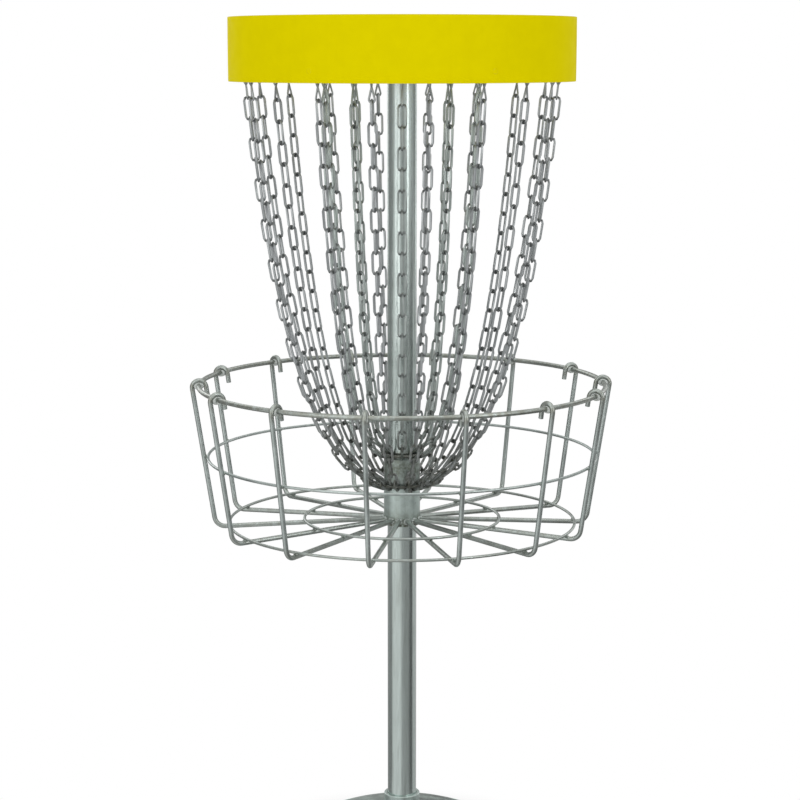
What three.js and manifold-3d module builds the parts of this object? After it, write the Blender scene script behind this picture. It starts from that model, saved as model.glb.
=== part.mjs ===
// Disc golf basket on a domed round base. Millimetres, +Z up, origin at the base's centre on the floor.
// A pole stands in the base's socket. A hub tube on the pole carries a wire basket. A rack at the pole's
// top carries a yellow sheet band and two rows of chains, which hang down and gather round the pole.
import * as THREE from 'three';
import { mergeVertices } from 'three/addons/utils/BufferGeometryUtils.js';
import Module from 'manifold-3d';

// Fits
const touchGap = 0.3; // between pieces that are welded or rest on each other
const slideGap = 0.3; // radial, between the pole and the tubes round it
const swingGap = 0.4; // between a chain's ends and the wires that it swings on
const overrun = 2; // how far a cutting tool runs past what it cuts

// Stock: pipes, rods and sheet
const poleDiameter = 48.3;
const poleWall = 3.7;
const sleeveDiameter = 60.3;
const rodDiameter = 7.94;
const thinRodDiameter = 4.76;

// Base
const baseDiameter = 492;
const baseCrownHeight = 89;
const basePlate = 6;
const baseFlangeWidth = 12;
const socketRise = 24; // out of the crown
const socketBottomHeight = 10;
const socketFloor = 4;
const lockBoltTurn = Math.PI; // of the bolt and its nut, from the front towards the right
const boltDiameter = 10;
const boltHeadAcross = 17;
const boltHeadThickness = 6.4;
const boltStandOff = 6; // thread that shows between the nut and the head
const nutAcross = 17;
const nutThickness = 8;

// Pole
const poleTopHeight = 1386;
const capThickness = 3;
const capPlugDepth = 12;
const capPlugWall = 2;

// Hub tube and wire basket
const hubLength = 114;
const hubSkirt = 9; // from the spokes' axes down to the hub tube's lower end
const rodCount = 14;
const rodPhase = THREE.MathUtils.degToRad(16.2); // of the first rod, from the front towards the right
const rimRadius = 335.6;
const rimHeight = 820;
const hookSpread = 23; // between the two legs of a rod's hook
const hookTail = 15.5;
const legLean = THREE.MathUtils.degToRad(8.8);
const floorRise = THREE.MathUtils.degToRad(2.1); // of the spokes towards the hub
const basketDepth = 238.2; // from the rim's axis down to the corner of a spoke and its leg
const bendRadius = 18;
const midRingDrop = 119.3; // from the rim's axis
const floorRingInset = 22.1; // from the corner of a spoke and its leg
const innerRingRadius = 163;

// Chains
const linkPitch = 33;
const linkWire = 4.2;
const linkWidth = 16.8;
const outerChainCount = 18;
const outerChainPhase = THREE.MathUtils.degToRad(9.5);
const outerSlackShare = 1.0255; // of the span between the ring and the hoop that a chain joins
const innerChainCount = 10;
const innerChainPhase = 0;
const innerSlackShare = 1.007;
const shortestHook = 30; // what a chain's links leave over, up to one pitch more, is its hook
const gatherWire = 6;
const gatherSlack = 4.85; // from the hub tube to the outer ring, room for the ends of the lowest links
const outerGatherDrop = 45; // from the hub tube's top end
const innerGatherSpread = 7.85; // from the pole to the inner ring's axis
const innerGatherRise = 5.4; // from the hub tube's top end, on which the lowest links lie

// Rack and band
const outerHoopInset = 26.5; // from the band's outside to the hoop's axis
const innerHoopRadius = 132;
const hoopDrop = 60; // from the pole's top end to the hoops' axes
const armCount = 6;
const armPhase = THREE.MathUtils.degToRad(30); // of the first arm, from the front towards the right
const collarLength = 60;
const collarDrop = 14; // from the arms down to the collar's lower end
const rackBoltDiameter = 8;
const rackBoltHeadAcross = 13;
const rackBoltHeadThickness = 5.3;
const rackBoltRise = 24; // from the arms up to the bolt
const bandRadius = 281;
const bandSheet = 1.5;
const bandWidth = 102;
const bandDrop = 10; // from the hoops' axes down to the band's lower edge

// Facets
const rodSides = 8;
const ringSides = 6;
const pipeSides = 24;
const domeSides = 40;
const domeSteps = 6;
const bandSides = 64;
const bendSteps = 3;
const hookSteps = 6;
const wideRingSteps = 48;
const narrowRingSteps = 32;
const gatherRingSteps = 24;

// Search for a catenary: its scale lies within this ratio of its run, and each pass halves what is left
const searchRatio = 20;
const searchPasses = 60;
const seatPasses = 12; // to settle where a chain's ends touch the wires that hold it

const poleRadius = poleDiameter / 2;
const sleeveRadius = sleeveDiameter / 2;
const sleeveBore = poleRadius + slideGap;
const rodRadius = rodDiameter / 2;
const thinRadius = thinRodDiameter / 2;
const gatherWireRadius = gatherWire / 2;

const galvanised = { color: 0x9aa39f, metalness: 0.85, roughness: 0.42 };
const finishes = {
  pipe: new THREE.MeshStandardMaterial({ ...galvanised }),
  wire: new THREE.MeshStandardMaterial({ ...galvanised, color: 0x8f9995 }),
  chain: new THREE.MeshStandardMaterial({ ...galvanised, color: 0x777f7d, roughness: 0.5 }),
  base: new THREE.MeshStandardMaterial({ ...galvanised, roughness: 0.55 }),
  bolt: new THREE.MeshStandardMaterial({ ...galvanised, color: 0xb4b8b8, roughness: 0.3 }),
  band: new THREE.MeshStandardMaterial({ color: 0xdcd300, metalness: 0, roughness: 0.35 }),
};

const wasm = await Module();
wasm.setup();

const assembly = new THREE.Group();

/** Adds a named mesh, turned about the pole by an angle from the front towards the right. */
function place(name, geometry, finish, angleFromFront = Math.PI / 2) {
  const mesh = new THREE.Mesh(geometry, finish);
  mesh.name = name;
  mesh.rotation.z = angleFromFront - Math.PI / 2;
  assembly.add(mesh);
  return mesh;
}

/** A name with a two-digit number, counted from one. */
function numbered(stem, index) {
  return `${stem}_${String(index + 1).padStart(2, '0')}`;
}

/** A closed solid of revolution about Z, from an anticlockwise outline of [radius, height] points. */
function turned(outline, sides) {
  const points = outline.map(([radius, height]) => new THREE.Vector2(radius, height));
  points.push(points[0].clone());
  return new THREE.LatheGeometry(points, sides).rotateX(Math.PI / 2);
}

/** An open-ended pipe about Z. */
function pipe(outerRadius, innerRadius, bottom, top, sides = pipeSides) {
  const outline = [[outerRadius, bottom], [outerRadius, top], [innerRadius, top], [innerRadius, bottom]];
  return turned(outline, sides);
}

/** A round wire bent to a full circle about Z. */
function wireRing(radius, wireRadius, height, steps, sides = ringSides) {
  return new THREE.TorusGeometry(radius, wireRadius, sides, steps).translate(0, 0, height);
}

/** A solid for joining and cutting, from a closed geometry. */
function solidFrom(geometry) {
  const bare = geometry.clone();
  bare.deleteAttribute('normal');
  bare.deleteAttribute('uv');
  const welded = mergeVertices(bare);
  return new wasm.Manifold(new wasm.Mesh({
    numProp: 3,
    vertProperties: new Float32Array(welded.attributes.position.array),
    triVerts: new Uint32Array(welded.index.array),
  }));
}

/** The geometry of a solid. */
function geometryFrom(solid) {
  const mesh = solid.getMesh();
  const geometry = new THREE.BufferGeometry();
  geometry.setAttribute('position', new THREE.BufferAttribute(mesh.vertProperties, mesh.numProp));
  geometry.setIndex(new THREE.BufferAttribute(mesh.triVerts, 1));
  geometry.computeVertexNormals();
  return geometry;
}

/** A rod or a drill along +X at a height, from one radius to another. */
function radialRod(radius, from, to, height, sides = rodSides) {
  return new THREE.CylinderGeometry(radius, radius, to - from, sides)
    .rotateZ(-Math.PI / 2)
    .translate((from + to) / 2, 0, height);
}

/** A hexagonal outline in the XY plane, by its size across flats. */
function hexagon(across) {
  const corners = [];
  for (let side = 0; side < 6; side += 1) {
    const turn = (side * Math.PI) / 3;
    corners.push(new THREE.Vector2(Math.cos(turn), Math.sin(turn)).multiplyScalar(across / Math.sqrt(3)));
  }
  return new THREE.Shape(corners);
}

/** A hexagonal prism along +X at a height, from one radius to another. */
function radialHexagon(shape, from, to, height) {
  return new THREE.ExtrudeGeometry(shape, { depth: to - from, bevelEnabled: false })
    .rotateY(Math.PI / 2)
    .translate(from, 0, height);
}

/** A bolt along +X: a round shank, with a hexagonal head outside it. */
function radialBolt(diameter, headAcross, headThickness, tip, seat, height) {
  const shank = solidFrom(radialRod(diameter / 2, tip, seat + headThickness / 2, height, pipeSides / 2));
  const head = solidFrom(radialHexagon(hexagon(headAcross), seat, seat + headThickness, height));
  return geometryFrom(shank.add(head));
}

/** A path of straight and curved stretches, each cut into a stated number of steps. */
class StretchPath extends THREE.Curve {
  constructor() {
    super();
    this.steps = [];
  }

  add(curve, count = 1) {
    for (let step = 0; step < count; step += 1) {
      this.steps.push({ curve, from: step / count, to: (step + 1) / count });
    }
    return this;
  }

  getUtoTmapping(share) {
    return share;
  }

  getPoint(share, target = new THREE.Vector3()) {
    const place = THREE.MathUtils.clamp(share, 0, 1) * this.steps.length;
    const index = Math.min(Math.floor(place), this.steps.length - 1);
    const { curve, from, to } = this.steps[index];
    return target.copy(curve.getPoint(from + (to - from) * (place - index)));
  }
}

/** An arc in the XZ plane about a centre, between two directions, as angles from +X towards +Z. */
class UprightArc extends THREE.Curve {
  constructor(centre, radius, startTurn, endTurn) {
    super();
    Object.assign(this, { centre, radius, startTurn, endTurn });
  }

  getPoint(share, target = new THREE.Vector3()) {
    const turn = this.startTurn + (this.endTurn - this.startTurn) * share;
    return target.set(
      this.centre.x + this.radius * Math.cos(turn), 0, this.centre.y + this.radius * Math.sin(turn));
  }
}

/** A straight stretch in the XZ plane between two [radius, height] vectors. */
function uprightLine(start, end) {
  return new THREE.LineCurve3(new THREE.Vector3(start.x, 0, start.y), new THREE.Vector3(end.x, 0, end.y));
}

/** A round wire along a path. */
function wireAlong(path, radius, sides) {
  const section = [];
  for (let side = 0; side < sides; side += 1) {
    const turn = (side * 2 * Math.PI) / sides;
    section.push(new THREE.Vector2(Math.cos(turn), Math.sin(turn)).multiplyScalar(radius));
  }
  const run = { steps: path.steps.length, extrudePath: path };
  return new THREE.ExtrudeGeometry(new THREE.Shape(section), run);
}

/** A closed skin over rings of points, each ring with as many points as the next. */
function skinOver(rings) {
  const sides = rings[0].length;
  const points = rings.flat();
  const faces = [];
  for (let ring = 0; ring + 1 < rings.length; ring += 1) {
    for (let side = 0; side < sides; side += 1) {
      const next = (side + 1) % sides;
      const [a, b] = [ring * sides + side, ring * sides + next];
      faces.push(a, b, b + sides, a, b + sides, a + sides);
    }
  }
  const last = points.length - sides;
  for (let side = 1; side + 1 < sides; side += 1) {
    faces.push(0, side + 1, side, last, last + side, last + side + 1);
  }
  const geometry = new THREE.BufferGeometry().setFromPoints(points);
  geometry.setIndex(faces);
  geometry.computeVertexNormals();
  return geometry;
}

// Base: a domed plate with a flat flange, and a socket tube, closed below and drilled for the lock bolt
const baseRadius = baseDiameter / 2;
const domeEdge = baseRadius - baseFlangeWidth;
const domeRise = baseCrownHeight - basePlate;
const domeRadius = (domeEdge ** 2 + domeRise ** 2) / (2 * domeRise);
const domeHole = sleeveRadius + touchGap;

/** The height of the dome's upper or lower face at a distance from the axis. */
function domeHeight(radius, drop) {
  return Math.sqrt(domeRadius ** 2 - radius ** 2) - domeRadius + baseCrownHeight - drop;
}

const domeOutline = [[baseRadius, 0], [baseRadius, basePlate]];
const flangeInner = domeEdge - basePlate;
for (let step = 0; step <= domeSteps; step += 1) {
  const radius = THREE.MathUtils.lerp(domeEdge, domeHole, step / domeSteps);
  domeOutline.push([radius, domeHeight(radius, 0)]);
}
for (let step = 0; step < domeSteps; step += 1) {
  const radius = THREE.MathUtils.lerp(domeHole, flangeInner, step / domeSteps);
  domeOutline.push([radius, domeHeight(radius, basePlate)]);
}
domeOutline.push([flangeInner, 0]);
place('base_dome', turned(domeOutline, domeSides), finishes.base);

const socketTopHeight = baseCrownHeight + socketRise;
const boltHeight = (baseCrownHeight + socketTopHeight) / 2;
const boltHole = boltDiameter / 2 + slideGap;
const nutSeat = sleeveRadius + touchGap;
const nutEnd = nutSeat + nutThickness;
const socketCup = turned([
  [0, socketBottomHeight],
  [sleeveRadius, socketBottomHeight],
  [sleeveRadius, socketTopHeight],
  [sleeveBore, socketTopHeight],
  [sleeveBore, socketBottomHeight + socketFloor],
  [0, socketBottomHeight + socketFloor],
], pipeSides);
const socketDrill = radialRod(
  boltHole, sleeveBore - overrun, sleeveRadius + overrun, boltHeight, pipeSides / 2);
const drilledSocket = geometryFrom(solidFrom(socketCup).subtract(solidFrom(socketDrill)));
place('socket_tube', drilledSocket, finishes.pipe, lockBoltTurn);

const nutShape = hexagon(nutAcross);
nutShape.holes.push(new THREE.Path().absarc(0, 0, boltHole, 0, 2 * Math.PI, true));
place('lock_nut', radialHexagon(nutShape, nutSeat, nutEnd, boltHeight), finishes.bolt, lockBoltTurn);
place('lock_bolt', radialBolt(boltDiameter, boltHeadAcross, boltHeadThickness,
  poleRadius + touchGap, nutEnd + boltStandOff, boltHeight), finishes.bolt, lockBoltTurn);

// Pole, with a cap that plugs its top end
const poleBottomHeight = socketBottomHeight + socketFloor + touchGap;
const poleBore = poleRadius - poleWall;
place('pole', pipe(poleRadius, poleBore, poleBottomHeight, poleTopHeight), finishes.pipe);

const plugRadius = poleBore - slideGap;
const capSeat = poleTopHeight + touchGap;
place('pole_cap', turned([
  [0, capSeat],
  [plugRadius - capPlugWall, capSeat],
  [plugRadius - capPlugWall, capSeat - capPlugDepth],
  [plugRadius, capSeat - capPlugDepth],
  [plugRadius, capSeat],
  [poleRadius, capSeat],
  [poleRadius, capSeat + capThickness],
  [0, capSeat + capThickness],
], pipeSides), finishes.pipe);

// Wire basket: bent rods, each a spoke, a leaning leg and a hook over the rim, with rings seated on them
const legUp = new THREE.Vector2(Math.sin(legLean), Math.cos(legLean));
const legInward = new THREE.Vector2(-Math.cos(legLean), Math.sin(legLean));
const hookRadius = hookSpread / 2;
const rimCentre = new THREE.Vector2(rimRadius, rimHeight);
const hookCentre = rimCentre.clone().addScaledVector(legUp, rodRadius * 2 + touchGap - hookRadius);
const legTop = hookCentre.clone().addScaledVector(legInward, -hookRadius);
const tailTop = hookCentre.clone().addScaledVector(legInward, hookRadius);
const tailEnd = tailTop.clone().addScaledVector(legUp, -hookTail);

// The corner where the spoke's line meets the leg's line, and the bend that rounds it
const legSlope = Math.tan(legLean);
const cornerHeight = rimHeight - basketDepth;
const corner = new THREE.Vector2(legTop.x + (cornerHeight - legTop.y) * legSlope, cornerHeight);
const spokeOut = new THREE.Vector2(Math.cos(floorRise), -Math.sin(floorRise));
const bendTurn = Math.PI / 2 + floorRise - legLean;
const bendReach = bendRadius * Math.tan(bendTurn / 2);
const bendStart = corner.clone().addScaledVector(spokeOut, -bendReach);
const bendEnd = corner.clone().addScaledVector(legUp, bendReach);
const bendCentre = bendEnd.clone().addScaledVector(legInward, bendRadius);

/** The height of a spoke's axis at a distance from the pole's axis. */
function spokeHeight(radius) {
  return corner.y + (corner.x - radius) * Math.tan(floorRise);
}

const spokeInner = sleeveRadius + touchGap;
const spokeStart = new THREE.Vector2(spokeInner, spokeHeight(spokeInner));
const hubBottomHeight = spokeStart.y - hubSkirt;
const hubTopHeight = hubBottomHeight + hubLength;
place('hub_tube', pipe(sleeveRadius, sleeveBore, hubBottomHeight, hubTopHeight), finishes.pipe);

const rodPath = new StretchPath()
  .add(uprightLine(spokeStart, bendStart))
  .add(new UprightArc(bendCentre, bendRadius, -Math.PI / 2 - floorRise, -legLean), bendSteps)
  .add(uprightLine(bendEnd, legTop))
  .add(new UprightArc(hookCentre, hookRadius, -legLean, Math.PI - legLean), hookSteps)
  .add(uprightLine(tailTop, tailEnd));
for (let rod = 0; rod < rodCount; rod += 1) {
  const angle = rodPhase + (rod * 2 * Math.PI) / rodCount;
  place(numbered('cage_rod', rod), wireAlong(rodPath, rodRadius, rodSides), finishes.wire, angle);
}

const thinSeat = rodRadius + thinRadius + touchGap; // between the axes of a rod and a thin ring on it
const thinRise = thinSeat / Math.cos(floorRise);
const midRingHeight = rimHeight - midRingDrop;
const legAtMidRing = legTop.x + (midRingHeight - legTop.y) * legSlope;
const midRingRadius = legAtMidRing - thinSeat / Math.cos(legLean);
const floorRingRadius = corner.x - floorRingInset;
const floorRingHeight = spokeHeight(floorRingRadius) + thinRise;
const innerRingHeight = spokeHeight(innerRingRadius) + thinRise;
const rimWire = wireRing(rimRadius, rodRadius, rimHeight, wideRingSteps, rodSides);
const midWire = wireRing(midRingRadius, thinRadius, midRingHeight, wideRingSteps);
const outerFloorWire = wireRing(floorRingRadius, thinRadius, floorRingHeight, wideRingSteps);
const innerFloorWire = wireRing(innerRingRadius, thinRadius, innerRingHeight, narrowRingSteps);
place('rim_ring', rimWire, finishes.wire);
place('mid_ring', midWire, finishes.wire);
place('floor_ring_outer', outerFloorWire, finishes.wire);
place('floor_ring_inner', innerFloorWire, finishes.wire);

// Rack: a collar on the pole with arms and the band's hoop, and the two hoops that the chains hang from
const rodSeat = rodDiameter + touchGap; // between the axes of two crossing rods
const hoopHeight = poleTopHeight - hoopDrop;
const outerHoopRadius = bandRadius - outerHoopInset;
const armHeight = hoopHeight + rodSeat;
const collarBottom = armHeight - collarDrop;
const rackBoltHeight = armHeight + rackBoltRise;
const bandHoopRadius = bandRadius - bandSheet - touchGap - rodRadius;
let rack = solidFrom(pipe(sleeveRadius, sleeveBore, collarBottom, collarBottom + collarLength))
  .add(solidFrom(wireRing(bandHoopRadius, rodRadius, armHeight, wideRingSteps)));
for (let arm = 0; arm < armCount; arm += 1) {
  const armRod = radialRod(rodRadius, (sleeveRadius + sleeveBore) / 2, bandHoopRadius, armHeight);
  rack = rack.add(solidFrom(armRod.rotateZ(armPhase - Math.PI / 2 + (arm * 2 * Math.PI) / armCount)));
}
const rackDrill = radialRod(rackBoltDiameter / 2 + slideGap, sleeveBore - overrun, sleeveRadius + overrun,
  rackBoltHeight, pipeSides / 2);
place('rack_frame', geometryFrom(rack.subtract(solidFrom(rackDrill))), finishes.wire);
place('rack_bolt', radialBolt(rackBoltDiameter, rackBoltHeadAcross, rackBoltHeadThickness,
  poleRadius + touchGap, sleeveRadius + touchGap, rackBoltHeight), finishes.bolt);
place('outer_hoop', wireRing(outerHoopRadius, rodRadius, hoopHeight, wideRingSteps), finishes.wire);
place('inner_hoop', wireRing(innerHoopRadius, rodRadius, hoopHeight, narrowRingSteps), finishes.wire);
const bandBottomHeight = hoopHeight - bandDrop;
const bandTopHeight = bandBottomHeight + bandWidth;
const bandShell = pipe(bandRadius, bandRadius - bandSheet, bandBottomHeight, bandTopHeight, bandSides);
place('band', bandShell, finishes.band);

// Rings that gather the chains: the outer one round the hub tube, the inner one above the tube's top end
const outerGatherRadius = sleeveRadius + gatherSlack + gatherWireRadius;
const outerGatherHeight = hubTopHeight - outerGatherDrop;
const innerGatherRadius = poleRadius + innerGatherSpread;
const innerGatherHeight = hubTopHeight + innerGatherRise;
const outerGatherWire = wireRing(outerGatherRadius, gatherWireRadius, outerGatherHeight, gatherRingSteps);
const innerGatherWire = wireRing(innerGatherRadius, gatherWireRadius, innerGatherHeight, gatherRingSteps);
place('outer_gather_ring', outerGatherWire, finishes.chain);
place('inner_gather_ring', innerGatherWire, finishes.chain);

/** A chain of a stated length that hangs in a catenary from one [radius, height] vector to a lower one. */
class Catenary {
  constructor(low, high, length) {
    const [run, rise] = [high.x - low.x, high.y - low.y];
    const spread = Math.sqrt(length ** 2 - rise ** 2);
    let [small, large] = [run / searchRatio, run * searchRatio];
    for (let pass = 0; pass < searchPasses; pass += 1) {
      const middle = (small + large) / 2;
      if (2 * middle * Math.sinh(run / (2 * middle)) > spread) small = middle;
      else large = middle;
    }
    this.scale = large;
    this.low = low;
    this.length = length;
    this.start = Math.atanh(rise / length) - run / (2 * this.scale);
  }

  /** The catenary's parameter at a distance along it from its low end. */
  turnAt(distance) {
    return Math.asinh(Math.sinh(this.start) + distance / this.scale);
  }

  pointAt(distance) {
    const turn = this.turnAt(distance);
    return new THREE.Vector2(
      this.low.x + this.scale * (turn - this.start),
      this.low.y + this.scale * (Math.cosh(turn) - Math.cosh(this.start)));
  }

  /** The direction towards the high end. */
  directionAt(distance) {
    return new THREE.Vector2(1, Math.sinh(this.turnAt(distance))).normalize();
  }
}

/** The catenary between a gather ring and a hoop, each end square to the wire that it touches. */
function hangChain(ringCentre, hoopCentre, slackShare) {
  const length = ringCentre.distanceTo(hoopCentre) * slackShare;
  let low = ringCentre;
  let high = hoopCentre;
  let curve;
  for (let pass = 0; pass < seatPasses; pass += 1) {
    curve = new Catenary(low, high, length);
    low = ringCentre.clone().addScaledVector(curve.directionAt(0), gatherWireRadius + swingGap);
    high = hoopCentre.clone().addScaledVector(curve.directionAt(length), -rodRadius - swingGap);
  }
  return new Catenary(low, high, length);
}

/** A strand with a flat section at each link's middle, turned a quarter from link to link. */
function chainStrand(curve) {
  const linkCount = Math.floor((curve.length - shortestHook) / linkPitch);
  const hookLength = curve.length - linkCount * linkPitch;
  const stations = [{ distance: 0, across: linkWire, deep: linkWire }];
  for (let link = 0; link < linkCount; link += 1) {
    const onEdge = link % 2 === 0;
    stations.push({
      distance: (link + 1 / 2) * linkPitch,
      across: onEdge ? linkWire : linkWidth,
      deep: onEdge ? linkWidth : linkWire,
    });
  }
  const hookOnEdge = linkCount % 2 === 0;
  stations.push({
    distance: curve.length - hookLength / 2,
    across: hookOnEdge ? linkWire : linkWidth,
    deep: hookOnEdge ? linkWidth : linkWire,
  });
  stations.push({ distance: curve.length, across: linkWire, deep: linkWire });
  const rings = stations.map(({ distance, across, deep }) => {
    const middle = curve.pointAt(distance);
    const along = curve.directionAt(distance);
    const cornerShares = [[-1, -1], [-1, 1], [1, 1], [1, -1]];
    return cornerShares.map(([acrossShare, deepShare]) => new THREE.Vector3(
      middle.x + along.y * deepShare * (deep / 2),
      acrossShare * (across / 2),
      middle.y - along.x * deepShare * (deep / 2)));
  });
  return skinOver(rings);
}

const outerCurve = hangChain(
  new THREE.Vector2(outerGatherRadius, outerGatherHeight),
  new THREE.Vector2(outerHoopRadius, hoopHeight),
  outerSlackShare);
for (let chain = 0; chain < outerChainCount; chain += 1) {
  const angle = outerChainPhase + (chain * 2 * Math.PI) / outerChainCount;
  place(numbered('outer_chain', chain), chainStrand(outerCurve), finishes.chain, angle);
}

const innerCurve = hangChain(
  new THREE.Vector2(innerGatherRadius, innerGatherHeight),
  new THREE.Vector2(innerHoopRadius, hoopHeight),
  innerSlackShare);
for (let chain = 0; chain < innerChainCount; chain += 1) {
  const angle = innerChainPhase + (chain * 2 * Math.PI) / innerChainCount;
  place(numbered('inner_chain', chain), chainStrand(innerCurve), finishes.chain, angle);
}

export default assembly;
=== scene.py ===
"""Looks of a disc golf basket: galvanised pipe and rods, two rows of chains and a yellow band.

The pieces are modelled in millimetres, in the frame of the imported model, and each is scaled to metres when it
is done. Angles round the pole are degrees from the front (-Y) towards the right (+X). The wire pieces are drawn
in the upright plane of X and Z and then turned about the pole to their own angle.
"""
from __future__ import annotations

import logging
import math
import random
from collections.abc import Callable
from dataclasses import dataclass, field
from enum import Enum
from functools import cache

import bmesh
import bpy
from mathutils import Matrix, Vector


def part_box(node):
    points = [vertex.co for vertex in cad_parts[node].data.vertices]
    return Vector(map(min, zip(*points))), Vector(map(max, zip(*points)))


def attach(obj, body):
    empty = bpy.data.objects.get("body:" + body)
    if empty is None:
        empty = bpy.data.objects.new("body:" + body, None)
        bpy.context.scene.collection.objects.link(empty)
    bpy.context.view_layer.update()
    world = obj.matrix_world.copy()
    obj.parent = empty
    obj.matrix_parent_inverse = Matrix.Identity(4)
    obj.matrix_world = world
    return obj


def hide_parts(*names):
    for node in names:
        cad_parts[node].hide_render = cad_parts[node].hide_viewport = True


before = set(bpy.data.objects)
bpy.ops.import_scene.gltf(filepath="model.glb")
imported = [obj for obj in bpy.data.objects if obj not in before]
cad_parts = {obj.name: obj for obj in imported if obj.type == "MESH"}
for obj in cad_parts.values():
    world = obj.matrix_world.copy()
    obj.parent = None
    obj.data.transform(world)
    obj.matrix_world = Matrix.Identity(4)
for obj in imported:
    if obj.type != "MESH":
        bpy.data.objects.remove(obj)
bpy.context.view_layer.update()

LOG = logging.getLogger("basket")
METRE = 1000.0
WELD_DISTANCE = 0.002
CREASE = math.radians(38)
UP = Vector((0.0, 0.0, 1.0))
OUT = Vector((1.0, 0.0, 0.0))
ASIDE = Vector((0.0, 1.0, 0.0))

ROD_RADIUS = 3.97
THIN_RADIUS = 2.38
SLEEVE_RADIUS = 30.15
SLEEVE_WALL = 5.7
SEAT_GAP = 0.3

Mesh = bmesh.types.BMesh
Node = bpy.types.Node
Socket = bpy.types.NodeSocket
Sockets = dict[str, bpy.types.NodeSocket]
Tree = bpy.types.NodeTree
Colour = tuple[float, float, float]
Outline = list[tuple[float, float]]
Range = tuple[float, float]


class Slot(str, Enum):
    """The record's material slots."""

    PIPE = "galvanised_pipe"
    WIRE = "galvanised_wire"
    PLATE = "galvanised_plate"
    CHAIN = "chain_steel"
    FASTENER = "zinc_fastener"
    BAND = "band_yellow"


class Rider(str, Enum):
    """The CAD bodies that the fixed pieces ride on. Each chain is a body of its own."""

    BASE = "base"
    MAST = "mast"
    LOCK_BOLT = "lock_bolt"


# Places and shapes


def box_of(node: str) -> tuple[Vector, Vector]:
    """A CAD node's lowest and highest corners, in millimetres.

    Args:
        node: The node's name.

    Returns:
        The two corners.
    """
    low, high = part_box(node)
    return Vector(low) * METRE, Vector(high) * METRE


def ring_line(node: str, wire_radius: float) -> Vector:
    """Where the axis of a CAD ring's wire crosses the plane of X and Z.

    Args:
        node: The ring's name.
        wire_radius: Half the thickness of its wire.

    Returns:
        The point, with the ring's radius as X.
    """
    low, high = box_of(node)
    return Vector((high.x - wire_radius, 0.0, (low.z + high.z) / 2))


def about_pole(angle: float) -> Matrix:
    """The turn that takes the plane of X and Z to an angle from the front, in degrees."""
    return Matrix.Rotation(math.radians(angle - 90), 4, "Z")


def turns_about_pole(count: int, phase: float) -> list[Matrix]:
    """The turns to places spread evenly round the pole, the first at an angle from the front, in degrees."""
    return [about_pole(phase + index * 360 / count) for index in range(count)]


def upright(radius: float, height: float) -> Vector:
    """A point in the plane of X and Z."""
    return Vector((radius, 0.0, height))


def frame_along(start: Vector, along: Vector, aside: Vector) -> Matrix:
    """A frame at a point, with Z along one direction and X as near as can be to another.

    Args:
        start: The frame's origin.
        along: The direction of its Z axis.
        aside: The direction that its X axis leans to.

    Returns:
        The frame as a matrix.
    """
    z_axis = along.normalized()
    y_axis = z_axis.cross(aside).normalized()
    x_axis = y_axis.cross(z_axis)
    turn = Matrix((x_axis, y_axis, z_axis)).transposed().to_4x4()
    return Matrix.Translation(start) @ turn


def spread(start: float, end: float, steps: int) -> list[float]:
    """Numbers spread evenly from a start to an end."""
    return [start + (end - start) * step / steps for step in range(steps + 1)]


def arc(radius: float, height: float, bend: float, start: float, end: float, steps: int) -> Outline:
    """Points of an arc in an outline.

    Args:
        radius: The arc centre's distance from the axis.
        height: The arc centre's height.
        bend: The arc's own radius.
        start: The angle of its first point, in degrees from +X towards +Z.
        end: The angle of its last point.
        steps: How many steps lie between them.

    Returns:
        The points, both ends included.
    """
    turns = [math.radians(angle) for angle in spread(start, end, steps)]
    return [(radius + bend * math.cos(turn), height + bend * math.sin(turn)) for turn in turns]


def turned(bm: Mesh, outline: Outline, steps: int, closed: bool = True) -> None:
    """Spins an outline of radius and height round Z to a full turn.

    Args:
        bm: The mesh that gets the shape.
        outline: The points.
        steps: The number of steps round.
        closed: Whether the last point joins the first, as on anything with a hole in it.
    """
    verts = [bm.verts.new((radius, 0.0, height)) for radius, height in outline]
    ends = verts[1:] + verts[:1] if closed else verts[1:]
    edges = [bm.edges.new(pair) for pair in zip(verts, ends)]
    bmesh.ops.spin(bm, geom=verts + edges, cent=(0, 0, 0), axis=UP, dvec=(0, 0, 0), angle=math.tau, steps=steps,
                   use_merge=True)


def wire_ring(bm: Mesh, line: Vector, wire_radius: float, steps: int, sides: int) -> None:
    """Spins a round wire to a full ring about the pole.

    Args:
        bm: The mesh that gets the ring.
        line: The point where the wire's axis starts.
        wire_radius: Half the wire's thickness.
        steps: The number of steps round.
        sides: The number of sides of the wire.
    """
    turned(bm, arc(line.x, line.z, wire_radius, 0, 360 - 360 / sides, sides - 1), steps)


def tube_outline(outer: float, inner: float, bottom: float, top: float, chamfer: float, rings: int = 1) -> Outline:
    """Draws an open tube with chamfered ends.

    Args:
        outer: Its outer radius.
        inner: Its inner radius.
        bottom: The height of its lower end.
        top: The height of its upper end.
        chamfer: The size of its chamfers.
        rings: The number of steps along its outside.

    Returns:
        The outline.
    """
    outline = [(outer - chamfer, bottom)]
    outline += [(outer, height) for height in spread(bottom + chamfer, top - chamfer, rings)]
    outline += [(outer - chamfer, top), (inner + chamfer, top), (inner, top - chamfer)]
    return outline + [(inner, bottom + chamfer), (inner + chamfer, bottom)]


def only(items: list, kind: type) -> list:
    """The items of one kind among mixed geometry."""
    return [item for item in items if isinstance(item, kind)]


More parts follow.
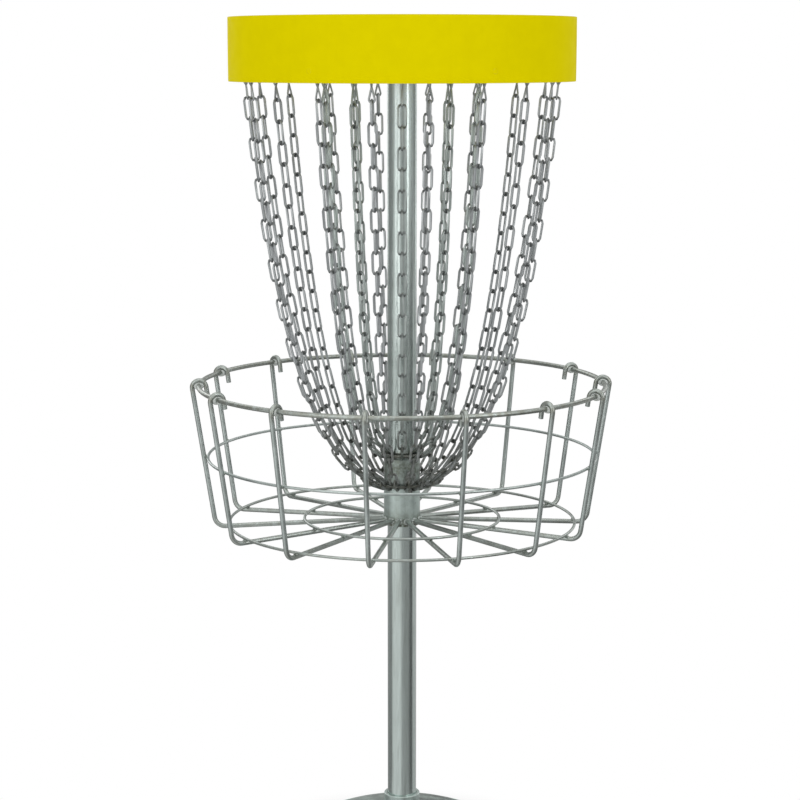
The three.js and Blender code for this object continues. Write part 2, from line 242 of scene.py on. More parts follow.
class WireBender:
    """Bends a round wire stretch by stretch, as a bending machine does."""

    def __init__(self, bm: Mesh, radius: float, sides: int, start: Vector, heading: Vector) -> None:
        """Cuts the wire's first end.

        Args:
            bm: The mesh that gets the wire.
            radius: Half the wire's thickness.
            sides: The number of sides of the wire.
            start: Where its axis starts.
            heading: Where it goes from there.
        """
        self.bm = bm
        self.radius = radius
        self.tip = start.copy()
        self.heading = heading.normalized()
        circle = bmesh.ops.create_circle(bm, cap_ends=False, segments=sides, radius=radius)["verts"]
        place = Matrix.Translation(start) @ self.heading.to_track_quat("Z", "Y").to_matrix().to_4x4()
        bmesh.ops.transform(bm, matrix=place, verts=circle)
        self.verts = circle
        self.edges = list({edge for vert in circle for edge in vert.link_edges})

    def _grow(self, move: Vector) -> None:
        """Extrudes the open end by a move."""
        grown = bmesh.ops.extrude_edge_only(self.bm, edges=self.edges)["geom"]
        self.verts = only(grown, bmesh.types.BMVert)
        new = set(self.verts)
        self.edges = [edge for edge in only(grown, bmesh.types.BMEdge) if new.issuperset(edge.verts)]
        bmesh.ops.translate(self.bm, vec=move, verts=self.verts)
        self.tip += move

    def feed(self, length: float, steps: int = 1) -> WireBender:
        """Lengthens the wire straight ahead.

        Args:
            length: How far it goes.
            steps: The number of steps on the way.

        Returns:
            The bender, for the next stretch.
        """
        for _ in range(steps):
            self._grow(self.heading * (length / steps))
        return self

    def curl(self, towards: Vector, bend: float, angle: float, steps: int) -> WireBender:
        """Bends the wire round an arc.

        Args:
            towards: The side that it bends to, square to its heading.
            bend: The radius of the arc of its axis.
            angle: The arc's angle in degrees.
            steps: The number of steps on the arc.

        Returns:
            The bender, for the next stretch.
        """
        centre = self.tip + towards.normalized() * bend
        axis = self.heading.cross(towards).normalized()
        spun = bmesh.ops.spin(self.bm, geom=self.verts + self.edges, cent=centre, axis=axis, dvec=(0, 0, 0),
                              angle=math.radians(angle), steps=steps, use_duplicate=False)["geom_last"]
        self.verts = only(spun, bmesh.types.BMVert)
        self.edges = only(spun, bmesh.types.BMEdge)
        turn = Matrix.Rotation(math.radians(angle), 3, axis)
        self.tip = centre + turn @ (self.tip - centre)
        self.heading = turn @ self.heading
        return self

    def cut(self, chamfer: float) -> WireBender:
        """Ends the wire with a flat cut that has a small chamfer.

        Args:
            chamfer: The chamfer's size.

        Returns:
            The bender.
        """
        self._grow(self.heading * chamfer)
        shrink = 1 - chamfer / self.radius
        bmesh.ops.scale(self.bm, vec=(shrink,) * 3, space=Matrix.Translation(-self.tip), verts=self.verts)
        bmesh.ops.contextual_create(self.bm, geom=self.edges)
        return self


def close_ends(bm: Mesh) -> None:
    """Closes whatever ends of wires are still open."""
    bmesh.ops.holes_fill(bm, edges=[edge for edge in bm.edges if edge.is_boundary], sides=0)


def bend_link(bm: Mesh, wire_radius: float, bend: float, straight: float, sides: int, steps: int) -> None:
    """Bends an oblong chain link with round ends, on Z.

    Args:
        bm: The mesh that gets the link.
        wire_radius: Half its wire's thickness.
        bend: The radius of its ends.
        straight: The length of its straight sides.
        sides: The number of sides of the wire.
        steps: The number of steps on each end.
    """
    wire = WireBender(bm, wire_radius, sides, Vector((bend, 0, -straight / 2)), UP)
    for inwards in (-OUT, OUT):
        wire.feed(straight).curl(inwards, bend, 180, steps)


class Stamp:
    """A small shape that is made once and pressed into a mesh many times."""

    def __init__(self, build: Callable[[Mesh], None]) -> None:
        """Makes the shape.

        Args:
            build: What draws it, in millimetres.
        """
        bm = bmesh.new()
        build(bm)
        bmesh.ops.remove_doubles(bm, verts=bm.verts, dist=WELD_DISTANCE)
        self.mesh = bpy.data.meshes.new("stamp")
        bm.to_mesh(self.mesh)
        bm.free()

    def press(self, bm: Mesh, place: Matrix, tone: float | None = None) -> None:
        """Adds a copy of the shape to a mesh.

        Args:
            bm: The mesh.
            place: The copy's place.
            tone: The value of its tone attribute, if it has one.
        """
        copy = self.mesh.copy()
        copy.transform(place)
        if tone is not None:
            copy.attributes["tone"].data.foreach_set("value", [tone] * len(copy.vertices))
        bm.from_mesh(copy)
        bpy.data.meshes.remove(copy)

    def drop(self) -> None:
        """Removes the shape's own mesh."""
        bpy.data.meshes.remove(self.mesh)


@dataclass
class Piece:
    """A mesh in the making, in millimetres, with its body, slot and finish and the CAD node that it replaces."""

    name: str
    rider: str
    slot: Slot
    finish: Finish
    stands_for: str = ""
    bm: Mesh = field(default_factory=bmesh.new)

    def spun(self, outline: Outline, steps: int, closed: bool = True) -> None:
        """Spins an outline about the pole and finishes the piece."""
        turned(self.bm, outline, steps, closed)
        self.done()

    def ring(self, line: Vector, wire_radius: float, steps: int, sides: int) -> None:
        """Spins a wire to a ring about the pole and finishes the piece."""
        wire_ring(self.bm, line, wire_radius, steps, sides)
        self.done()

    def done(self) -> bpy.types.Object:
        """Cleans the mesh, scales it to metres and hands it to the frame.

        Returns:
            The finished object.
        """
        bm = self.bm
        bmesh.ops.remove_doubles(bm, verts=bm.verts, dist=WELD_DISTANCE)
        bmesh.ops.recalc_face_normals(bm, faces=bm.faces)
        for face in bm.faces:
            face.smooth = True
        for edge in bm.edges:
            edge.smooth = not (len(edge.link_faces) == 2 and edge.calc_face_angle(0.0) > CREASE)
        bmesh.ops.scale(bm, vec=(1 / METRE,) * 3, verts=bm.verts)
        mesh = bpy.data.meshes.new(self.name)
        bm.to_mesh(mesh)
        bm.free()
        mesh.materials.append(self.finish.material())
        piece = bpy.data.objects.new(self.name, mesh)
        bpy.context.scene.collection.objects.link(piece)
        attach(piece, self.rider.value if isinstance(self.rider, Rider) else self.rider)
        if self.stands_for:
            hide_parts(self.stands_for)
        LOG.info("%s: %d faces", self.name, len(mesh.polygons))
        return piece


def weld_spot(bm: Mesh, rng: random.Random, place: Matrix, size: Vector, lumps: float = 0.12) -> None:
    """Adds a blob of weld metal.

    Args:
        bm: The mesh that gets the blob.
        rng: The source of its lumps.
        place: Its place.
        size: Its half sizes along its own axes.
        lumps: How uneven it is, as a share of its size.
    """
    ball = bmesh.ops.create_icosphere(bm, subdivisions=2, radius=1.0)["verts"]
    for vert in ball:
        vert.co *= 1 + rng.uniform(-lumps, lumps)
    bmesh.ops.scale(bm, vec=size, verts=ball)
    bmesh.ops.transform(bm, matrix=place, verts=ball)


def weld_bead(bm: Mesh, line: Vector, size: float, ripples: int, ripple_share: float = 0.16) -> None:
    """Adds a weld bead that runs round the pole, with its ripples.

    Args:
        bm: The mesh that gets the bead.
        line: Where its axis crosses the plane of X and Z.
        size: Half its thickness.
        ripples: The number of ripples round.
        ripple_share: How deep they are, as a share of its size.
    """
    steps = ripples * 4
    part = bmesh.new()
    wire_ring(part, line, size, steps, 8)
    for vert in part.verts:
        angle = math.atan2(vert.co.y, vert.co.x)
        axis = Vector((math.cos(angle) * line.x, math.sin(angle) * line.x, line.z))
        swell = 1 + ripple_share * abs(math.sin(angle * ripples / 2)) + ripple_share * math.sin(angle * 5)
        vert.co = axis + (vert.co - axis) * swell
    insert(bm, part, Matrix.Identity(4))


def insert(bm: Mesh, part: Mesh, place: Matrix) -> None:
    """Moves a part to its place and joins it to a mesh.

    Args:
        bm: The mesh.
        part: The part, which is freed.
        place: Its place.
    """
    bmesh.ops.remove_doubles(part, verts=part.verts, dist=WELD_DISTANCE)
    bmesh.ops.transform(part, matrix=place, verts=part.verts)
    mesh = bpy.data.meshes.new("part")
    part.to_mesh(mesh)
    part.free()
    bm.from_mesh(mesh)
    bpy.data.meshes.remove(mesh)


def hexagon(across: float, thickness: float, bore: float = 0.0) -> Mesh:
    """Makes a hexagonal nut or bolt head on Z, from zero upwards, with its corners turned off at both ends.

    Args:
        across: Its size across flats.
        thickness: Its height.
        bore: The radius of its hole, or zero.

    Returns:
        The part.
    """
    part = bmesh.new()
    flat = across / 2
    corner = across / math.sqrt(3)
    face = flat * 0.95
    edge = thickness * 0.02
    outline = [(face, 0.0), (corner, edge), (corner, thickness - edge), (face, thickness)]
    if bore > 0:
        lead = bore * 0.12
        outline += [(bore + lead, thickness), (bore, thickness - lead), (bore, lead), (bore + lead, 0.0)]
    else:
        outline = [(0.0, 0.0), *outline, (0.0, thickness)]
    turned(part, outline, 72, closed=bore > 0)
    for vert in part.verts:
        if vert.co.xy.length < corner * 0.999:
            continue
        from_flat = math.atan2(vert.co.y, vert.co.x) % (math.pi / 3) - math.pi / 6
        reach = flat / math.cos(from_flat)
        fall = (reach - face) * math.tan(math.radians(30))
        vert.co = Vector((vert.co.x * reach / corner, vert.co.y * reach / corner,
                          fall if vert.co.z < thickness / 2 else thickness - fall))
    return part


def bolt(bm: Mesh, shank: Outline, across: float, head: float, start: Vector, turn: Matrix) -> None:
    """Makes a bolt that lies along a radius of the pole, with its head outwards.

    Args:
        bm: The mesh that gets the bolt.
        shank: The shank's outline, from its tip at zero to its head.
        across: The head's size across flats.
        head: The head's height.
        start: The tip's place in the plane of X and Z.
        turn: The turn from that plane to the bolt's own.
    """
    part = bmesh.new()
    turned(part, shank, 32, closed=False)
    for solid, place in ((part, start), (hexagon(across, head), start + OUT * shank[-1][1])):
        insert(bm, solid, turn @ frame_along(place, OUT, ASIDE))


# Finishes


def labelled(values: dict[str, object]) -> dict[str, object]:
    """The values under their sockets' labels, from names in lower case with underscores for spaces."""
    return {name.replace("_", " ").title(): value for name, value in values.items()}


class NodeSheet:
    """A node tree that is being laid out."""

    def __init__(self, tree: Tree) -> None:
        """Takes the tree that gets the nodes."""
        self.tree = tree

    def feed(self, node: Node, inputs: dict[str | int, object]) -> Node:
        """Links or sets inputs of a node.

        Args:
            node: The node.
            inputs: Its inputs by name or number: an output socket is linked, anything else is its value.

        Returns:
            The node.
        """
        for key, value in inputs.items():
            if isinstance(value, Socket):
                self.tree.links.new(value, node.inputs[key])
            else:
                node.inputs[key].default_value = value
        return node

    def add(self, kind: str, inputs: dict[str | int, object] | None = None, **settings: object) -> Node:
        """Adds a node.

        Args:
            kind: Its type.
            inputs: What goes into it.
            settings: Its properties.

        Returns:
            The node.
        """
        node = self.tree.nodes.new(kind)
        for name, value in settings.items():
            setattr(node, name, value)
        return self.feed(node, inputs or {})

    def group(self, group: Callable[[], Tree], **values: float) -> Sockets:
        """Places a shared group.

        Args:
            group: What gives the group.
            values: Its inputs, named in lower case with underscores for spaces.

        Returns:
            Its outputs.
        """
        return self.feed(self.add("ShaderNodeGroup", node_tree=group()), labelled(values)).outputs

    def mix(self, share: object, first: object, second: object) -> Socket:
        """Mixes two colours.

        Args:
            share: The second colour's share, as a value or a socket.
            first: The first colour.
            second: The second colour.

        Returns:
            The mixed colour.
        """
        first, second = (item if isinstance(item, Socket) else (*item, 1.0) for item in (first, second))
        return self.add("ShaderNodeMix", {0: share, 6: first, 7: second}, data_type="RGBA").outputs[2]

    def maths(self, what: str, *values: object) -> Socket:
        """The result of an operation on numbers or sockets."""
        return self.add("ShaderNodeMath", dict(enumerate(values)), operation=what).outputs[0]

    def vectors(self, what: str, output: str, *values: object) -> Socket:
        """The named output of an operation on vectors."""
        return self.add("ShaderNodeVectorMath", dict(enumerate(values)), operation=what).outputs[output]

    def ramp(self, value: object, low: float, high: float, start: float = 0.0, end: float = 1.0) -> Socket:
        """Maps a range smoothly to another.

        Args:
            value: The value that is mapped.
            low: Where its range starts.
            high: Where its range ends.
            start: The result at the start.
            end: The result at the end.

        Returns:
            The result.
        """
        limits = {"Value": value, "From Min": low, "From Max": high, "To Min": start, "To Max": end}
        return self.add("ShaderNodeMapRange", limits, interpolation_type="SMOOTHSTEP").outputs["Result"]

    def place(self) -> Socket:
        """The place on the object."""
        return self.add("ShaderNodeTexCoord").outputs["Object"]

    def height(self, place: Socket) -> Socket:
        """The height of a place."""
        return self.add("ShaderNodeSeparateXYZ", {"Vector": place}).outputs["Z"]

    def noise(self, place: Socket, scale: object, detail: float, roughness: float = 0.5) -> Socket:
        """The level of a noise, from its scale per metre, its detail and its roughness."""
        inputs = {"Vector": place, "Scale": scale, "Detail": detail, "Roughness": roughness}
        return self.add("ShaderNodeTexNoise", inputs).outputs["Fac"]

    def bump(self, height: Socket, strength: float, depth: float) -> Socket:
        """The normal of a relief, from its height, its strength and its depth in millimetres."""
        inputs = {"Strength": strength, "Distance": depth / METRE, "Height": height}
        return self.add("ShaderNodeBump", inputs).outputs["Normal"]


Layout = Callable[[NodeSheet, Sockets], Sockets]


def shared_group(*outputs: str, **inputs: float) -> Callable[[Layout], Callable[[], Tree]]:
    """Makes a node group of a function that lays out its nodes, once, when it is first asked for.

    Args:
        outputs: The names of its outputs.
        inputs: Its inputs with their defaults, named in lower case with underscores for spaces.

    Returns:
        The decorator of the function.
    """
    def decorate(draw: Layout) -> Callable[[], Tree]:
        """Wraps the function that lays out the nodes."""
        @cache
        def group() -> Tree:
            """Makes the group."""
            tree = bpy.data.node_groups.new(draw.__name__, "ShaderNodeTree")
            for label, value in labelled(inputs).items():
                socket = tree.interface.new_socket(name=label, in_out="INPUT", socket_type="NodeSocketFloat")
                socket.default_value = value
            for label in outputs:
                tree.interface.new_socket(name=label, in_out="OUTPUT", socket_type="NodeSocketFloat")
            sheet = NodeSheet(tree)
            sheet.add("NodeGroupOutput", draw(sheet, sheet.add("NodeGroupInput").outputs))
            return tree

        return group

    return decorate


@shared_group("Tone", "Cloud", "Height", crystal_size=6.0, sparkle=0.4, stretch=1.0)
def zinc_crystals(sheet: NodeSheet, given: Sockets) -> Sockets:
    """Lays out the crystals and clouds of a zinc coat.

    Args:
        sheet: The group's node sheet.
        given: Its inputs. A Stretch under 1 draws everything out in Z.

    Returns:
        A tone and a height that vary from cell to cell, and clouds over a few centimetres.
    """
    drawn = sheet.add("ShaderNodeCombineXYZ", {"X": 1.0, "Y": 1.0, "Z": given["Stretch"]}).outputs[0]
    place = sheet.vectors("MULTIPLY", "Vector", sheet.place(), drawn)
    cells_per_metre = sheet.maths("DIVIDE", METRE, given["Crystal Size"])
    cells = sheet.add("ShaderNodeTexVoronoi", {"Vector": place, "Scale": cells_per_metre, "Randomness": 1.0})
    flake = sheet.add("ShaderNodeSeparateColor", {"Color": cells.outputs["Color"]}).outputs[0]
    cloud = sheet.ramp(sheet.noise(place, 34.0, 5.0, 0.62), 0.3, 0.7)
    wide = sheet.ramp(sheet.noise(place, 7.0, 2.0), 0.35, 0.65)
    drift = sheet.maths("ADD", sheet.maths("MULTIPLY", cloud, 0.6), sheet.maths("MULTIPLY", wide, 0.4))
    rest = sheet.maths("SUBTRACT", 1.0, given["Sparkle"])
    tone = sheet.maths("ADD", sheet.maths("MULTIPLY", flake, given["Sparkle"]), sheet.maths("MULTIPLY", drift, rest))
    height = sheet.maths("ADD", sheet.maths("MULTIPLY", flake, 0.5), cloud)
    return {"Tone": tone, "Cloud": cloud, "Height": height}


@shared_group("Mask", amount=0.5)
def run_marks(sheet: NodeSheet, given: Sockets) -> Sockets:
    """Lays out marks that run down a surface, such as drips, rain and grey film.

    Args:
        sheet: The group's node sheet.
        given: Its inputs.

    Returns:
        A mask that is long in Z.
    """
    place = sheet.place()
    long = sheet.add("ShaderNodeMapping", {"Vector": place, "Scale": (1.0, 1.0, 0.07)}, vector_type="POINT")
    down = sheet.ramp(sheet.noise(long.outputs[0], 120.0, 4.0), 0.5, 0.78)
    dots = sheet.ramp(sheet.noise(place, 420.0, 2.0), 0.66, 0.76)
    return {"Mask": sheet.maths("MULTIPLY", sheet.maths("MAXIMUM", down, dots), given["Amount"])}


@shared_group("Mask", amount=0.6)
def worn_edges(sheet: NodeSheet, given: Sockets) -> Sockets:
    """Lays out edges that handling has rubbed.

    Args:
        sheet: The group's node sheet.
        given: Its inputs.

    Returns:
        A mask that is high on convex edges.
    """
    convex = sheet.ramp(sheet.add("ShaderNodeNewGeometry").outputs["Pointiness"], 0.52, 0.6)
    broken = sheet.ramp(sheet.noise(sheet.place(), 260.0, 4.0), 0.36, 0.62)
    return {"Mask": sheet.maths("MULTIPLY", sheet.maths("MULTIPLY", convex, broken), given["Amount"])}


@shared_group("Height", grain_size=1.5)
def fine_grain(sheet: NodeSheet, given: Sockets) -> Sockets:
    """Lays out a fine noise as the relief of a grain of a given size in millimetres."""
    return {"Height": sheet.noise(sheet.place(), sheet.maths("DIVIDE", METRE, given["Grain Size"]), 2.0)}


@shared_group("Mask", clean=0.8, full=0.65)
def settled_dirt(sheet: NodeSheet, given: Sockets) -> Sockets:
    """Lays out dirt that gathers towards a height.

    Args:
        sheet: The group's node sheet.
        given: Its inputs, the Clean and the Full height in metres.

    Returns:
        A mask that grows from the one height to the other.
    """
    place = sheet.place()
    depth = sheet.ramp(sheet.height(place), given["Clean"], given["Full"])
    patch = sheet.ramp(sheet.noise(place, 90.0, 4.0, 0.65), 0.35, 0.65, 0.35)
    return {"Mask": sheet.maths("MULTIPLY", depth, patch)}


@shared_group("Mask", height=0.7, reach=0.02)
def dirt_and_shade_ring(sheet: NodeSheet, given: Sockets) -> Sockets:
    """Lays out a darkening round a height: dirt where metal rubs on metal, and painted shade under the hub's welds.

    Args:
        sheet: The group's node sheet.
        given: Its inputs, the Height and the Reach in metres.

    Returns:
        A mask that is full at the height and gone at the reach from it.
    """
    place = sheet.place()
    off = sheet.maths("ABSOLUTE", sheet.maths("SUBTRACT", sheet.height(place), given["Height"]))
    near = sheet.ramp(sheet.maths("DIVIDE", off, given["Reach"]), 0.0, 1.0, 1.0, 0.0)
    patch = sheet.ramp(sheet.noise(place, 130.0, 4.0, 0.7), 0.34, 0.62, 0.25)
    return {"Mask": sheet.maths("MULTIPLY", near, patch)}


class Finish:
    """A surface finish, whose material is made the first time that it is asked for."""

    name: str

    def inputs(self, sheet: NodeSheet) -> dict[str, object]:
        """Lays out the nodes that feed the surface.

        Args:
            sheet: The material's node sheet.

        Returns:
            What goes into the surface, by the labels of its sockets.
        """
        raise NotImplementedError

    @cache
    def material(self) -> bpy.types.Material:
        """Makes the finish's material, once.

        Returns:
            The material.
        """
        material = bpy.data.materials.new(self.name)
        material.use_nodes = True
        sheet = NodeSheet(material.node_tree)
        sheet.feed(material.node_tree.nodes["Principled BSDF"], self.inputs(sheet))
        return material


@dataclass(frozen=True)
class ZincFinish(Finish):
    """Hot-dip galvanised steel: pale and dull crystals, run marks, and dark rings: dirt where metal meets metal, and
    the hub welds' painted shade on their undersides.

    Each dark ring has its height and reach in metres and its share of the colour.
    """

    name: str
    pale: Colour = (0.56, 0.635, 0.615)
    dull: Colour = (0.37, 0.42, 0.405)
    stain: Colour = (0.17, 0.18, 0.15)
    crystal: float = 6.0
    sparkle: float = 0.35
    stretch: float = 1.0
    marks: float = 0.35
    smooth: float = 0.26
    rough: float = 0.42
    metallic: float = 0.94
    relief: float = 0.05
    dirt_and_shade: Colour = (0.115, 0.11, 0.075)
    dirt_and_shade_rings: tuple[tuple[float, float, float], ...] = ()

    def inputs(self, sheet: NodeSheet) -> dict[str, object]:
        """Lays out the crystals, the run marks, the rings of dirt and of painted shade, and the relief."""
        zinc = sheet.group(zinc_crystals, crystal_size=self.crystal, sparkle=self.sparkle, stretch=self.stretch)
        marks = sheet.group(run_marks, amount=self.marks)
        colour = sheet.mix(marks["Mask"], sheet.mix(zinc["Tone"], self.dull, self.pale), self.stain)
        for height, reach, share in self.dirt_and_shade_rings:
            ring = sheet.group(dirt_and_shade_ring, height=height, reach=reach)
            colour = sheet.mix(sheet.maths("MULTIPLY", ring["Mask"], share), colour, self.dirt_and_shade)
        return {"Base Color": colour, "Metallic": self.metallic,
                "Roughness": sheet.ramp(zinc["Cloud"], 0.0, 1.0, self.smooth, self.rough),
                "Normal": sheet.bump(zinc["Height"], 0.5, self.relief)}


@dataclass(frozen=True)
class ChainFinish(Finish):
    """Dull zinc-plated chain, darker where the links rub and browner towards the gather rings."""

    name: str
    bright: Colour = (0.58, 0.605, 0.615)
    dark: Colour = (0.38, 0.405, 0.412)
    joint: Colour = (0.105, 0.112, 0.11)
    brown: Colour = (0.095, 0.10, 0.078)
    roughness: float = 0.36
    metallic: float = 0.6
    clear: float = 0.1

    def inputs(self, sheet: NodeSheet) -> dict[str, object]:
        """Lays out the links' tones, their dark joints and the brown of the lowest links."""
        tone = sheet.add("ShaderNodeAttribute", attribute_name="tone").outputs["Fac"]
        grime = sheet.add("ShaderNodeAttribute", attribute_name="grime").outputs["Fac"]
        zinc = sheet.group(zinc_crystals, crystal_size=2.5, sparkle=0.5)
        low = sheet.group(settled_dirt, clean=0.86, full=0.655)
        grain = sheet.group(fine_grain, grain_size=1.1)
        share = sheet.maths("ADD", sheet.maths("MULTIPLY", tone, 0.6), sheet.maths("MULTIPLY", zinc["Tone"], 0.4))
        rubbed = sheet.mix(grime, sheet.mix(share, self.dark, self.bright), self.joint)
        colour = sheet.mix(sheet.maths("MULTIPLY", low["Mask"], 0.9), rubbed, self.brown)
        return {"Base Color": colour, "Metallic": self.metallic, "Coat Weight": self.clear, "Coat Roughness": 0.16,
                "Roughness": sheet.ramp(zinc["Cloud"], 0.0, 1.0, self.roughness - 0.07, self.roughness + 0.1),
                "Normal": sheet.bump(grain["Height"], 0.5, 0.05)}


@dataclass(frozen=True)
class CoatFinish(Finish):
    """Smooth yellow coat with a slight orange peel, rubbed at the sheet's edges."""

    name: str
    colour: Colour = (0.76, 0.652, 0.0)
    deep: Colour = (0.67, 0.565, 0.0)
    rubbed: Colour = (0.46, 0.44, 0.16)
    smooth: float = 0.38
    rough: float = 0.5
    gloss: float = 0.002

    def inputs(self, sheet: NodeSheet) -> dict[str, object]:
        """Lays out the coat's slow changes of tone, its orange peel and its edges."""
        zinc = sheet.group(zinc_crystals, crystal_size=40.0, sparkle=0.0)
        grain = sheet.group(fine_grain, grain_size=2.2)
        edges = sheet.group(worn_edges, amount=0.6)
        dust = sheet.group(run_marks, amount=0.10)
        coat = sheet.mix(sheet.maths("MULTIPLY", zinc["Cloud"], 0.3), self.colour, self.deep)
        colour = sheet.mix(edges["Mask"], sheet.mix(dust["Mask"], coat, self.deep), self.rubbed)
        return {"Base Color": colour, "Roughness": sheet.ramp(zinc["Cloud"], 0.0, 1.0, self.smooth, self.rough),
                "Normal": sheet.bump(grain["Height"], 0.25, 0.06), "Specular IOR Level": self.gloss}


@dataclass(frozen=True)
class WeldFinish(Finish):
    """Weld metal under zinc: rough, cloudy and darker in its hollows. In dark tones, painted shade under the hub's
    welds.
    """

    name: str
    pale: Colour = (0.44, 0.49, 0.45)
    burnt_and_shade: Colour = (0.20, 0.22, 0.195)

    def inputs(self, sheet: NodeSheet) -> dict[str, object]:
        """Lays out the weld's clouds and its coarse relief."""
        zinc = sheet.group(zinc_crystals, crystal_size=3.0, sparkle=0.5)
        grain = sheet.group(fine_grain, grain_size=2.4)
        return {"Base Color": sheet.mix(zinc["Tone"], self.burnt_and_shade, self.pale), "Roughness": 0.5, "Metallic": 0.7,
                "Normal": sheet.bump(grain["Height"], 0.8, 0.5)}


PIPE = ZincFinish("zinc_coated_pipe", pale=(0.61, 0.685, 0.66), dull=(0.42, 0.475, 0.455), crystal=3.0, sparkle=0.3,
                  stretch=0.08, smooth=0.15, rough=0.23, relief=0.012, dirt_and_shade_rings=((0.704, 0.012, 0.8),))
HUB = ZincFinish("zinc_coated_sleeve", pale=(0.56, 0.65, 0.62), dull=(0.37, 0.43, 0.405), crystal=9.0, marks=0.5,
                 smooth=0.28, rough=0.42, metallic=0.82, dirt_and_shade=(0.13, 0.14, 0.10),
                 dirt_and_shade_rings=((0.682, 0.042, 0.8), (0.584, 0.03, 1.0)))
ROD = ZincFinish("zinc_coated_rod", pale=(0.505, 0.56, 0.54), dull=(0.31, 0.345, 0.333), crystal=3.0, sparkle=0.2,
                 marks=0.3, smooth=0.28, rough=0.42, metallic=0.9, relief=0.02, dirt_and_shade=(0.225, 0.22, 0.175),
                 dirt_and_shade_rings=((0.82, 0.024, 0.68), (0.586, 0.03, 0.4)))
PLATE = ZincFinish("zinc_coated_plate", pale=(0.40, 0.46, 0.43), dull=(0.20, 0.235, 0.22), crystal=11.0, sparkle=0.5,
                   rough=0.58)
FASTENER = ZincFinish("plated_fastener", pale=(0.46, 0.46, 0.43), dull=(0.30, 0.31, 0.29), crystal=2.0, smooth=0.26,
                      rough=0.4, marks=0.2, metallic=0.9)
LINK = ChainFinish("plated_chain")
PALE_LINK = ChainFinish("plated_chain_pale", bright=(0.60, 0.665, 0.64), dark=(0.43, 0.485, 0.465))
GATHER = ChainFinish("plated_ring", bright=(0.34, 0.33, 0.27), dark=(0.09, 0.085, 0.065), roughness=0.24)
FILL = ZincFinish("zinc_filled_weld", pale=(0.60, 0.63, 0.605), dull=(0.47, 0.50, 0.48), crystal=4.0, marks=0.2,
                  smooth=0.5, rough=0.66, metallic=0.3, relief=0.08, dirt_and_shade=(0.24, 0.245, 0.18),
                  dirt_and_shade_rings=((0.811, 0.006, 0.4),))
# The bead's dark ring sits at the spokes' undersides: painted shade under the hub's welds.
BEAD = ZincFinish("zinc_coated_bead", pale=(0.53, 0.575, 0.55), dull=(0.38, 0.42, 0.40), crystal=3.0, smooth=0.4,
                  rough=0.56, metallic=0.6, relief=0.08, dirt_and_shade=(0.20, 0.205, 0.15), dirt_and_shade_rings=((0.582, 0.012, 0.8),))
# Dark blobs under the hub's spoke welds, as painted shade.
PAINTED_WELD_SHADE = WeldFinish("painted_weld_shade", pale=(0.15, 0.15, 0.12), burnt_and_shade=(0.05, 0.05, 0.04))
COAT = CoatFinish("band_coat")
WELD = WeldFinish("weld_metal")


# Sub-assemblies


